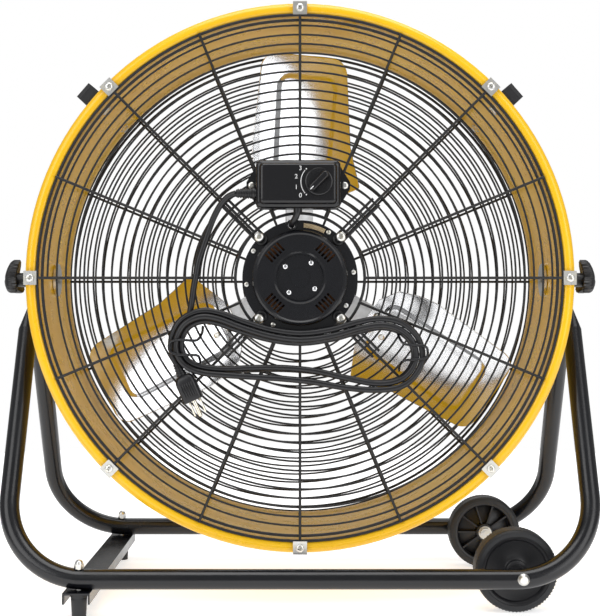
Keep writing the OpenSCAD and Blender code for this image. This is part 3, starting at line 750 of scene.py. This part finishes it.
# %% Switch box cover
cover_low, cover_high = drum_box("switch_cover")
BOX_CENTRE = ((cover_low.x + cover_high.x) / 2, (cover_low.y + cover_high.y) / 2)
BOX_HALF = ((cover_high.x - cover_low.x) / 2, (cover_high.y - cover_low.y) / 2)
BOX_FRONT = cover_high.z
COVER_SKIN = 2.2
cover_steps = [
    (cover_low.z, 0.0, 6.0), (cover_low.z + 16, 0.3, 6.0), (cover_low.z + 19.4, 0.9, 6.0),
    (cover_low.z + 20.8, 2.0, 5.6), (cover_low.z + 21.4, 3.4, 5.0), (cover_low.z + 21.9, 4.3, 4.6),
    (cover_low.z + 23.0, 4.7, 4.4), (cover_low.z + 25.6, 5.1, 4.4), (cover_low.z + 27.1, 6.0, 4.2),
    (BOX_FRONT - 0.2, 7.4, 3.8), (BOX_FRONT, 9.4, 3.0),
]
cover_outlines = [
    rounded_outline(BOX_CENTRE, (BOX_HALF[0] - inset, BOX_HALF[1] - inset), radius, z)
    for z, inset, radius in cover_steps
]
switch_cover = build(
    "switch_cover_shell", DRUM_TO_MODEL, *stack(cover_outlines, close_start=False),
    gloss_plastic, "drum", "black_paint", "switch_cover",
)
skin = switch_cover.modifiers.new("sheet thickness", "SOLIDIFY")
skin.thickness = COVER_SKIN * MM
skin.offset = -1
print("cover", [round(2 * h, 1) for h in BOX_HALF], "mm, front at", round(BOX_FRONT, 1))

# %% [markdown]
# The speed marks are printed: an arc round the knob with a dot at each end, and a numeral beside
# each of the four stops. A Text object gives the numerals, turned into a mesh so that all the
# print is one thin piece.

# %% Printed marks
KNOB_CENTRE = (21.0, 106.5)
PRINT_Z = BOX_FRONT + 0.02
PRINT_T = 0.08
PRINT_TOP = PRINT_Z + PRINT_T
MARK_R, NUMERAL_H = 20, 7


def numeral(text, x, y, height):
    """A numeral's outline, filled, centred on a point of the panel."""
    data = bpy.data.curves.new("numeral", "FONT")
    data.body, data.size = text, height
    data.align_x = data.align_y = "CENTER"
    data.extrude = PRINT_T / 2
    source = bpy.data.objects.new("numeral", data)
    mesh = bpy.data.meshes.new_from_object(source)
    points = [(v.co.x + x, v.co.y + y, v.co.z + PRINT_Z + PRINT_T / 2) for v in mesh.vertices]
    faces = [tuple(f.vertices) for f in mesh.polygons]
    bpy.data.objects.remove(source)
    return points, faces


def printed_arc(start, end, radius, width, count=28):
    """A strip of print along an arc round the knob."""
    outlines = []
    for k in range(count + 1):
        a = math.radians(start + (end - start) * k / count)
        inner, outer = radius - width / 2, radius + width / 2
        edge = ((inner, PRINT_Z), (inner, PRINT_TOP), (outer, PRINT_TOP), (outer, PRINT_Z))
        outlines.append([
            (KNOB_CENTRE[0] + r * math.cos(a), KNOB_CENTRE[1] + r * math.sin(a), z) for r, z in edge
        ])
    return stack(outlines)


def printed_dot(angle, radius, size):
    """A round dot of print beside the knob."""
    a = math.radians(angle)
    centre = (KNOB_CENTRE[0] + radius * math.cos(a), KNOB_CENTRE[1] + radius * math.sin(a))
    rings = turned([(size, PRINT_Z), (size, PRINT_TOP)], 16)
    return stack([[(x + centre[0], y + centre[1], z) for x, y, z in ring] for ring in rings])


numerals = (("3", 0.5, 121.5), ("2", -4.2, 112.3), ("1", -4.2, 100.3), ("0", 0.5, 91.2))
print_parts = [printed_arc(140, 220, MARK_R, 0.75)]
print_parts += [printed_dot(angle, MARK_R, 0.8) for angle in (134, 226)]
print_parts += [numeral(*place, NUMERAL_H) for place in numerals]
build("panel_print", DRUM_TO_MODEL, *join(*print_parts), white_ink, "drum", "black_paint")
print("print pieces", len(print_parts))

# %% [markdown]
# The knob is a skirt with a dished top and a grip bar across it. The bar narrows towards its top
# edge, and a white line at one end points to the stop. It turns with its own body, so the line
# ends up at each numeral.

# %% Speed knob
KNOB_OFF_ANGLE, KNOB_GAP = 226, 1.4
KNOB_FRAME = DRUM_TO_MODEL @ shift(*KNOB_CENTRE, BOX_FRONT + KNOB_GAP) @ spin(KNOB_OFF_ANGLE)
skirt = stack(turned([
    (15.0, 0), (15.5, 0.5), (15.5, 2.2), (15.1, 3.2), (14.2, 3.7), (13.0, 3.6), (11.0, 3.0),
    (7, 2.7),
]))
bar_steps = [
    ((14.3, 5.0), 4.6, 2.4), ((14.0, 4.5), 4.2, 7.5), ((13.4, 3.9), 3.7, 12.0),
    ((12.9, 3.4), 3.2, 13.3), ((12.0, 2.6), 2.4, 13.9), ((10.6, 1.5), 1.4, 14.0),
]
bar = stack([rounded_outline((0, 0), *step) for step in bar_steps])
build(
    "speed_knob_grip", KNOB_FRAME, *join(skirt, bar), gloss_plastic, "speed_control",
    "black_plastic", "speed_knob",
)
line_steps = [((2.6, 0.55), 0.5, 12.6), ((2.4, 0.5), 0.45, 14.08)]
build(
    "speed_knob_pointer", KNOB_FRAME, *stack([rounded_outline((11.2, 0), *s) for s in line_steps]),
    white_ink, "speed_control", "black_plastic",
)
print("knob at", [round(v, 4) for v in KNOB_FRAME.translation])

# %% [markdown]
# Round wire and cable are curves with a round bevel, smoothed through a few bend points: the two
# hooks that hold the coiled cord, and the short lead from the switch box to the motor.

# %% Wire hooks and motor lead
left_hook = [
    (-111, -56, 101.2), (-111, -63, 114), (-116, -70.5, 123.5), (-128, -70.5, 124.6),
    (-140, -70.5, 124.6), (-146.5, -74, 124), (-146.5, -82, 124), (-140, -86.5, 124.6),
    (-126, -87, 124.6), (-115, -88, 123.5), (-113, -94, 114), (-113, -99, 101.2),
]
right_hook = [
    (111, -58, 101.2), (112, -67, 114), (117, -74.5, 123.5), (128, -76, 124.6), (139, -77, 124.6),
    (143, -80.5, 124), (143, -88, 124), (139, -91.5, 124.6), (127, -92.5, 124.6),
    (117, -93.5, 123.5), (113, -99, 114), (113, -106, 101.2),
]
motor_lead_route = [
    (-2.5, 80, 117.4), (-2.7, 74, 117), (-4.6, 68.6, 114.4), (-7.6, 63.8, 109.6), (-9.2, 61, 104),
    (-9.5, 60.5, 100.4),
]


def smooth_route(points, per_step):
    """Points of the model along a smooth curve through points of the drum's frame."""
    count = per_step * (len(points) - 1)
    return [drum(*smooth_point(points, k / per_step)) for k in range(count + 1)]


for name, route in (("left_cord_hook", left_hook), ("right_cord_hook", right_hook)):
    hook = tube_curve(name, smooth_route(route, 6), 1.5 * MM, 3)
    dress(hook, black_coat, "drum", "black_paint", "cord_hooks")
lead = tube_curve("motor_lead_sheath", smooth_route(motor_lead_route, 6), 3.8 * MM)
dress(lead, cord_sheath, "drum", "cord_rubber", "motor_lead")
print("hook points", len(left_hook), "and", len(right_hook))

# %% [markdown]
# A cross-head screw needs its cross, because that is what catches the light. One head is cut with
# a Boolean: a low dome, minus two crossed wedges. Copies of that one mesh then make every set of
# screws, each turned by a different amount, as a hand leaves them.

# %% Cross-head screws
def cut_mesh(body_part, cutter_part):
    """One (points, faces) minus another."""
    made = []
    for label, (points, faces) in (("cut body", body_part), ("cutter", cutter_part)):
        mesh = bpy.data.meshes.new(label)
        mesh.from_pydata(points, [], faces)
        made.append(add_object(label, mesh))
    cut = made[0].modifiers.new("cut", "BOOLEAN")
    cut.operation, cut.solver, cut.object = "DIFFERENCE", "EXACT", made[1]
    bpy.context.view_layer.update()
    solved = made[0].evaluated_get(bpy.context.evaluated_depsgraph_get())
    result = bpy.data.meshes.new_from_object(solved)
    part = [tuple(v.co) for v in result.vertices], [tuple(f.vertices) for f in result.polygons]
    for gone in made:
        bpy.data.objects.remove(gone)
    return part


def cross_head(head_r, head_h, shank_r, length):
    """A screw with a cross recess, standing on its seat, its shank pointing down."""
    head = stack(turned([
        (shank_r * 0.8, -length), (shank_r, -length + 0.8), (shank_r, 0), (head_r, 0),
        (head_r, head_h * 0.35), (head_r * 0.93, head_h * 0.65), (head_r * 0.75, head_h * 0.86),
        (head_r * 0.45, head_h * 0.97), (head_r * 0.12, head_h),
    ], 32))
    wide, tip, narrow = head_r * 0.58, head_r * 0.2, head_r * 0.13
    wedges = []
    for turn in (0, 90):
        c, s = math.cos(math.radians(turn)), math.sin(math.radians(turn))
        outlines = []
        for half, thick, z in (
            (tip, narrow * 0.7, head_h * 0.15), (wide, narrow * 1.15, head_h * 1.1),
        ):
            flat = ((half, thick), (-half, thick), (-half, -thick), (half, -thick))
            outlines.append([(x * c - y * s, x * s + y * c, z) for x, y in flat])
        wedges.append(stack(outlines))
    head = cut_mesh(head, wedges[0])
    return cut_mesh(head, wedges[1])


def screws(name, head, places, finish, body, slot, node):
    """Copies of one screw at several places of the drum's frame, each turned differently."""
    copies = []
    for k, place in enumerate(places):
        matrix = place @ spin(37 + 58 * k)
        copies.append(([tuple(matrix @ Vector(p)) for p in head[0]], head[1]))
    return build(name, DRUM_TO_MODEL, *join(*copies), finish, body, slot, node)


def at_polar(radius, angle, z, flip=False):
    """A place on the drum's face: distance from the axis, angle, and height of the seat."""
    side = Matrix.Rotation(math.pi, 4, "Y") if flip else Matrix.Identity(4)
    return side @ spin(angle) @ shift(radius, 0, z)


RING_SEAT, CORNER_SEAT, CORNER_HEAD_H = 99.8, GUARD_FACE + 0.1, 3.4
small_head = cross_head(3.0, 2.0, 1.7, 6)
small_places = [at_polar(61.5, angle, RING_SEAT) for angle in (6, 58, 150, 187, 240, 329)]
corner_head = cross_head(5.6, CORNER_HEAD_H, 2.5, 5.9)
corner_places = [at_polar(66, angle, CORNER_SEAT) for angle in (45, 135, 225, 315)]
packed_top = drum_box("ring_screws")[1].z
print("corner screw tops at", round(CORNER_SEAT + CORNER_HEAD_H, 2), "packed", round(packed_top, 2))

# %% Screws in their places
screws("corner_screws", corner_head, corner_places, zinc, "drum", "zinc_plate", "ring_screws")
screws("ring_edge_screws", small_head, small_places, zinc, "drum", "zinc_plate", "ring_screws")
switch_head = cross_head(4.2, 2.6, 2.0, 4.8)
switch_places = [shift(x, BOX_CENTRE[1], GUARD_FACE + 1.8) for x in (-55, 51)]
screws("switch_box_screws", switch_head, switch_places, zinc, "drum", "zinc_plate", "switch_screws")
cap_head = cross_head(3.1, 1.8, 1.7, 6)
cap_places = [at_polar(21, 53 + 90 * k, 109.5) for k in range(4)]
screws(
    "motor_cap_screws", cap_head, cap_places, bright_steel, "drum", "zinc_plate", "end_cover_screws"
)
CLIP_RADIUS, CLIP_SEAT = 307.9, GUARD_FACE + 1.6
clip_head = cross_head(4.7, 3.0, 2.0, 14)
clip_places = [
    at_polar(CLIP_RADIUS, 45 * k, CLIP_SEAT, flip) for flip in (False, True) for k in range(8)
]
screws("rim_clip_screws", clip_head, clip_places, zinc, "drum", "zinc_plate", "clip_screws")
every_place = small_places + corner_places + switch_places + cap_places + clip_places
print("cross-head screws", len(every_place))

# %% [markdown]
# The plug is moulded on to the cord. A ribbed sleeve lets the cord bend without breaking, and the
# body has round shoulders and grip ridges on both faces. Its blades are stamped with a hole near
# the tip, and the earth pin has a round nose.

# %% Plug
PLUG_FRAME = (
    DRUM_TO_MODEL
    @ shift(-134, -110, 114)
    @ spin(24)
    @ spin(90, "X")
)
sleeve_steps = [(3.7, -14), (4.5, -13.6)]
for k in range(5):
    z = -13 + 2.9 * k
    sleeve_steps += [
        (4.7 + 0.32 * k, z), (4.9 + 0.32 * k, z + 1.5),
        (4.1 + 0.3 * k, z + 1.9), (4.1 + 0.3 * k, z + 2.5),
    ]
sleeve = stack(turned(sleeve_steps + [(6.2, 1.8)], 24))
body_steps = [
    (1.0, 6.4, 6.0, 5.0), (1.8, 8.2, 7.4, 5.4), (4.0, 10.0, 8.8, 5.2), (7.0, 11.0, 9.6, 4.8),
    (12.0, 11.3, 9.8, 4.6), (24.0, 11.3, 9.8, 4.6), (30.5, 11.5, 10.0, 4.4), (31.6, 11.1, 9.6, 4.2),
    (32.1, 10.2, 8.8, 3.8),
]
grip = stack([
    rounded_outline((1, 0), (wide, deep), radius, z) for z, wide, deep, radius in body_steps
])
ridges = []
for side in (-1, 1):
    for k in range(6):
        x = 1 + (k - 2.5) * 2.6
        ridges.append(stack([
            rounded_outline((x, side * 9.4), (0.7, 0.4), 0.3, 10.5, 2),
            rounded_outline((x, side * 9.9), (0.7, 0.9), 0.5, 11.6, 2),
            rounded_outline((x, side * 9.9), (0.7, 0.9), 0.5, 25.4, 2),
            rounded_outline((x, side * 9.4), (0.7, 0.4), 0.3, 26.5, 2),
        ]))
plug = build(
    "plug_grip", PLUG_FRAME, *join(sleeve, grip, *ridges), cord_sheath, "drum", "cord_rubber",
    "plug_body",
)
print("plug ridges", len(ridges))


PRONG_T = 1.5


def blade_prong(x):
    """A stamped blade with a hole, from a filled outline with thickness."""
    bm = bmesh.new()
    outline = [(-5.5, 31.6), (0.8, 31.6), (0.8, 47.6), (-0.2, 49.2), (-4.5, 49.2), (-5.5, 47.6)]
    angles = [math.tau * k / 16 for k in range(16)]
    hole = [(-2.35 + 1.5 * math.cos(a), 45 + 1.5 * math.sin(a)) for a in angles]
    edges = []
    for loop in (outline, hole):
        corners = [bm.verts.new((x - PRONG_T / 2, y, z)) for y, z in loop]
        edges += [bm.edges.new((a, b)) for a, b in zip(corners, corners[1:] + corners[:1])]
    flat = bmesh.ops.triangle_fill(bm, edges=edges, use_beauty=True)["geom"]
    filled = [g for g in flat if isinstance(g, bmesh.types.BMFace)]
    grown = bmesh.ops.extrude_face_region(bm, geom=filled)
    moved = [g for g in grown["geom"] if isinstance(g, bmesh.types.BMVert)]
    bmesh.ops.translate(bm, verts=moved, vec=(PRONG_T, 0, 0))
    bmesh.ops.recalc_face_normals(bm, faces=bm.faces)
    bm.verts.index_update()
    part = [tuple(v.co) for v in bm.verts], [tuple(v.index for v in f.verts) for f in bm.faces]
    bm.free()
    return part


pin_steps = [(2.4, 31.6), (2.4, 49.6), (2.2, 50.6), (1.6, 51.6), (0.7, 52.1)]
earth_pin = stack([[(x + 1.5, y + 5.2, z) for x, y, z in ring] for ring in turned(pin_steps, 20)])
prongs = build(
    "plug_contacts", PLUG_FRAME, *join(blade_prong(-4.8), blade_prong(7.9), earth_pin), plug_metal,
    "drum", "plug_brass", "plug_prongs",
)
print("contacts", len(prongs.data.vertices), "points")

# %% [markdown]
# The sleeve where the cord leaves the switch box is a tapering stack of ribs, for the same reason
# as the one on the plug. It replaces a plain cone.

# %% Cord sleeve at the box
GLAND_FRAME = DRUM_TO_MODEL @ shift(-51, 95, 117.2) @ spin(-90, "Y")
gland_steps = [(3.4, -4), (5.5, -4), (5.5, -0.2), (7.0, 0), (7.0, 2.4), (6.5, 3.0)]
SLEEVE_RIBS = 6
for k in range(SLEEVE_RIBS):
    z = 3.2 + 2.9 * k
    gland_steps += [
        (5.3 - 0.18 * k, z), (6.2 - 0.2 * k, z + 0.3),
        (6.1 - 0.2 * k, z + 1.8), (5.2 - 0.18 * k, z + 2.2),
    ]
gland_steps += [(4.4, 21.2), (3.5, 21.5)]
build(
    "cord_sleeve", GLAND_FRAME, *stack(turned(gland_steps, 28)), satin_plastic, "drum",
    "black_plastic", "cord_gland",
)
print("sleeve ribs", SLEEVE_RIBS)

# %% [markdown]
# The clamp knobs are three-lobed, so a gloved hand can turn them, and their edge is fluted. One
# outline whose radius swells three times a turn, with a small ripple on it, is stacked and pulled
# back towards the lobes.

# %% Clamp knobs
CLAMP_FACE = 332.6


def lobed_outline(share, z, flutes, sides=216):
    """An outline with three lobes, its rim drooping with distance from the middle."""
    outline = []
    for k in range(sides):
        a = math.tau * k / sides
        lobe = (0.5 + 0.5 * math.cos(3 * a)) ** 1.3
        radius = share * (13.2 + 11.6 * lobe - flutes * (0.5 - 0.5 * math.cos(36 * a)))
        outline.append((radius * math.cos(a), radius * math.sin(a), z - 0.34 * max(0, radius - 9)))
    return outline


def clamp_knob(side):
    """The place and the shape of the knob on one side: -1 for left, 1 for right."""
    flip = Matrix.Scale(-1, 4, (1, 0, 0)) if side < 0 else Matrix.Identity(4)
    about_axis = Matrix.Translation(AXIS) @ flip @ Matrix.Scale(MM, 4)
    matrix = about_axis @ spin(90, "Y") @ spin(180) @ shift(0, 0, CLAMP_FACE)
    levels = [
        (0.34, 14.6, 0), (0.84, 14.4, 0.4), (0.95, 15.2, 0.8), (1.0, 16.8, 1.1), (1.0, 23.2, 1.1),
        (0.96, 25.2, 0.8), (0.88, 26.6, 0.4), (0.7, 27.6, 0), (0.4, 28.1, 0), (0.1, 28.2, 0),
    ]
    crown = stack([lobed_outline(share, z, flutes) for share, z, flutes in levels])
    stem = stack(turned([(4.1, 2.3), (8.2, 2.3), (8.7, 2.9), (8.7, 15.5)], 40))
    return matrix, join(crown, stem)


for side, label in ((-1, "left"), (1, "right")):
    matrix, (points, faces) = clamp_knob(side)
    if side < 0:
        faces = [tuple(reversed(face)) for face in faces]
    build(
        f"{label}_clamp_grip", matrix, points, faces, satin_plastic, f"{label}_clamp",
        "black_plastic", f"{label}_clamp_knob",
    )
print("clamp knobs at", CLAMP_FACE, "mm from the middle")

# %% [markdown]
# Each wheel is a plastic disc with a rubber tyre. The outer face is a smooth dish and the inner
# face has ten ribs. Small cleats run round both shoulders of the tyre. Splitting the disc from
# the tyre lets one be glossy and the other dull, as they are.

# %% Wheels
disc_profile = [
    (4.06, 27), (11.2, 27), (12, 26.4), (12.3, 19.6), (13.4, 18.9), (20, 18.9), (29, 20.1),
    (33.6, 22), (34.8, 24.2), (36.3, 25.6), (38.4, 26.2), (38.6, 0.9), (36.4, 1.4), (35.2, 2.8), (34.7, 6),
    (34.3, 17.4), (30, 15.9), (12.4, 13.5), (11.5, 12.9), (11, 3), (11, 0.5), (10.5, 0), (4.06, 0),
]
tyre_profile = [
    (38.0, 25.6), (39.0, 26.8), (41.6, 27.0), (43.2, 26.6), (43.6, 25.9), (44.2, 25.9),
    (45.3, 24.6), (46.2, 22.6), (46.5, 20.4), (46.5, 17.2), (46.0, 16.8), (46.0, 16.0),
    (46.5, 15.6), (46.5, 11.4),
    (46.0, 11.0), (46.0, 10.2), (46.5, 9.8), (46.5, 6.6), (46.2, 4.4), (45.3, 2.4), (44.2, 1.1),
    (43.6, 1.1), (43.2, 0.4), (41.6, 0.0), (39.0, 0.2), (38.0, 1.4),
]


def closed_turning(profile, sides=96):
    """A turned part whose profile closes on itself."""
    outlines = turned(profile, sides)
    points, faces = stack(outlines, False, False)
    last = (len(profile) - 1) * sides
    faces += [(last + i, last + (i + 1) % sides, (i + 1) % sides, i) for i in range(sides)]
    return points, [tuple(reversed(face)) for face in faces]


def box_part(low, high, turn):
    """A small block between two corners, turned about the axle."""
    rotate = Matrix.Rotation(turn, 4, "Z")
    flat = ((high[0], high[1]), (low[0], high[1]), (low[0], low[1]), (high[0], low[1]))
    return stack([[tuple(rotate @ Vector((x, y, z))) for x, y in flat] for z in (low[2], high[2])])


RIBS, CLEATS = 10, 72
ribs = [box_part((10.6, -1.1, 3.4), (35, 1.1, 15.2), math.tau * k / RIBS) for k in range(RIBS)]
cleats = []
for k in range(CLEATS):
    for low_z in (2.6, 22.9):
        turn = math.tau * k / CLEATS
        cleats.append(box_part((43.9, -0.75, low_z), (46.35, 0.75, low_z + 1.5), turn))
WHEEL_X, WHEEL_R, WHEEL_IN = 243, 46.5, 101.5
for side, label in ((-1, "rear"), (1, "front")):
    flip = Matrix.Scale(-1, 4, (0, 1, 0)) if side > 0 else Matrix.Identity(4)
    matrix = (
        flip @ Matrix.Scale(MM, 4) @ shift(WHEEL_X, 0, WHEEL_R)
        @ spin(90, "X") @ shift(0, 0, WHEEL_IN)
    )
    body = f"{label}_wheel_body"
    for part_label, (points, faces), finish in (
        ("disc", join(closed_turning(disc_profile), *ribs), satin_plastic),
        ("tyre", join(closed_turning(tyre_profile), *cleats), tyre_rubber),
    ):
        if side > 0:
            faces = [tuple(reversed(face)) for face in faces]
        build(
            f"{label}_wheel_{part_label}", matrix, points, faces, finish, body, "wheel_rubber",
            f"{label}_wheel",
        )
print("wheel cleats", len(cleats), "ribs", len(ribs))

# %% [markdown]
# The drum is rolled from one strip, so it has one welded seam across its wall, at the top. The
# weld was ground and painted over, and shows as a narrow, slightly uneven band inside and
# outside.

# %% Drum seam
DRUM_R, WALL_T, SEAM_HALF, SEAM_STEPS = 300.0, 1.2, 82.0, 41
seam_outlines = []
for k in range(SEAM_STEPS + 1):
    z = -SEAM_HALF + 2 * SEAM_HALF * k / SEAM_STEPS
    sway = 0.25 * math.sin(k * 1.7) + 0.15 * math.sin(k * 4.1)
    proud = 0.34 + 0.08 * math.sin(k * 2.3)
    seam_outlines.append([
        (sway - 2.6, DRUM_R - 0.05, z), (sway - 1.2, DRUM_R - proud, z),
        (sway + 1.2, DRUM_R - proud, z),
        (sway + 2.6, DRUM_R - 0.05, z), (sway + 2.6, DRUM_R + WALL_T + 0.05, z),
        (sway + 1.2, DRUM_R + WALL_T + proud, z), (sway - 1.2, DRUM_R + WALL_T + proud, z),
        (sway - 2.6, DRUM_R + WALL_T + 0.05, z),
    ])
build("drum_seam", DRUM_TO_MODEL, *stack(seam_outlines), yellow_coat, "drum", "yellow_paint")
print("seam", 2 * SEAM_HALF, "mm long")

# %% [markdown]
# ## Light and floor
# A product picture like this uses a white room. Two large soft boxes behind the camera wake the
# blades and draw long highlights on the tubes, a third from above shapes the drum, a fourth
# lights the far side, and the pale world fills the shadows. Point lights would give hard hot
# spots on the bright sheet.

# %% Soft boxes
def soft_box(name, place, aim, wide, tall, watts):
    """A rectangular area light at one point, facing another."""
    data = bpy.data.lights.new(name, "AREA")
    data.shape = "RECTANGLE"
    data.size, data.size_y, data.energy = wide, tall, watts
    made = add_object(name, data)
    made.location = place
    made.rotation_euler = (Vector(aim) - Vector(place)).to_track_quat("-Z", "Y").to_euler()


soft_box("left_box", (-1.7, -2.0, 1.3), (0, 0, 0.4), 1.5, 2.2, 25)
soft_box("right_box", (1.7, -1.9, 1.0), (0, 0, 0.4), 1.3, 2.2, 20)
soft_box("top_box", (0.1, -0.4, 2.2), (0, 0, 0.4), 1.8, 1.4, 26)
soft_box("back_box", (0.2, 2.2, 1.9), (0, 0, 0.4), 2.0, 1.4, 16)

# %% [markdown]
# The room behind the fan is burnt out to plain white, as such pictures are, while the light that
# falls on the fan from all round is weaker, or black paint would look grey. So the world is
# brighter where it is looked at directly than where it lights things. The floor is white and
# gives off a little light, like a lit table top, which keeps the shadow under the stand faint.

# %% World and floor
world = bpy.data.worlds.new("white_room")
bpy.context.scene.world = world
world.use_nodes = True
backdrop = world.node_tree.nodes["Background"]
backdrop.inputs["Color"].default_value = (1, 1, 1, 1)
FILL_LIGHT = 0.36
seen = Wire(world.node_tree, None).node("ShaderNodeLightPath", output="Is Camera Ray")
strength = seen * (1 - FILL_LIGHT) + FILL_LIGHT
world.node_tree.links.new(strength.socket, backdrop.inputs["Strength"])
bpy.context.scene.view_settings.view_transform = "Standard"

floor_mesh = bpy.data.meshes.new("floor")
FLOOR_R, FLOOR_SIDES, FLOOR_GLOW = 1.5, 96, 0.6
rim = turned([(FLOOR_R, 0)], FLOOR_SIDES)[0]
floor_mesh.from_pydata(rim, [], [tuple(range(FLOOR_SIDES))])
floor = add_object("floor", floor_mesh)
floor_paint, floor_place = start_finish("floor_paint")
end_finish(floor_paint, (0.93, 0.93, 0.935), 0.6 + floor_place.noise(5, 3) * 0.08)
floor_shader = floor_paint.node_tree.nodes["Principled BSDF"]
floor_shader.inputs["Emission Color"].default_value = (1, 1, 1, 1)
floor_shader.inputs["Emission Strength"].default_value = FLOOR_GLOW
wear(floor, floor_paint)
print("floor at", floor.location.z)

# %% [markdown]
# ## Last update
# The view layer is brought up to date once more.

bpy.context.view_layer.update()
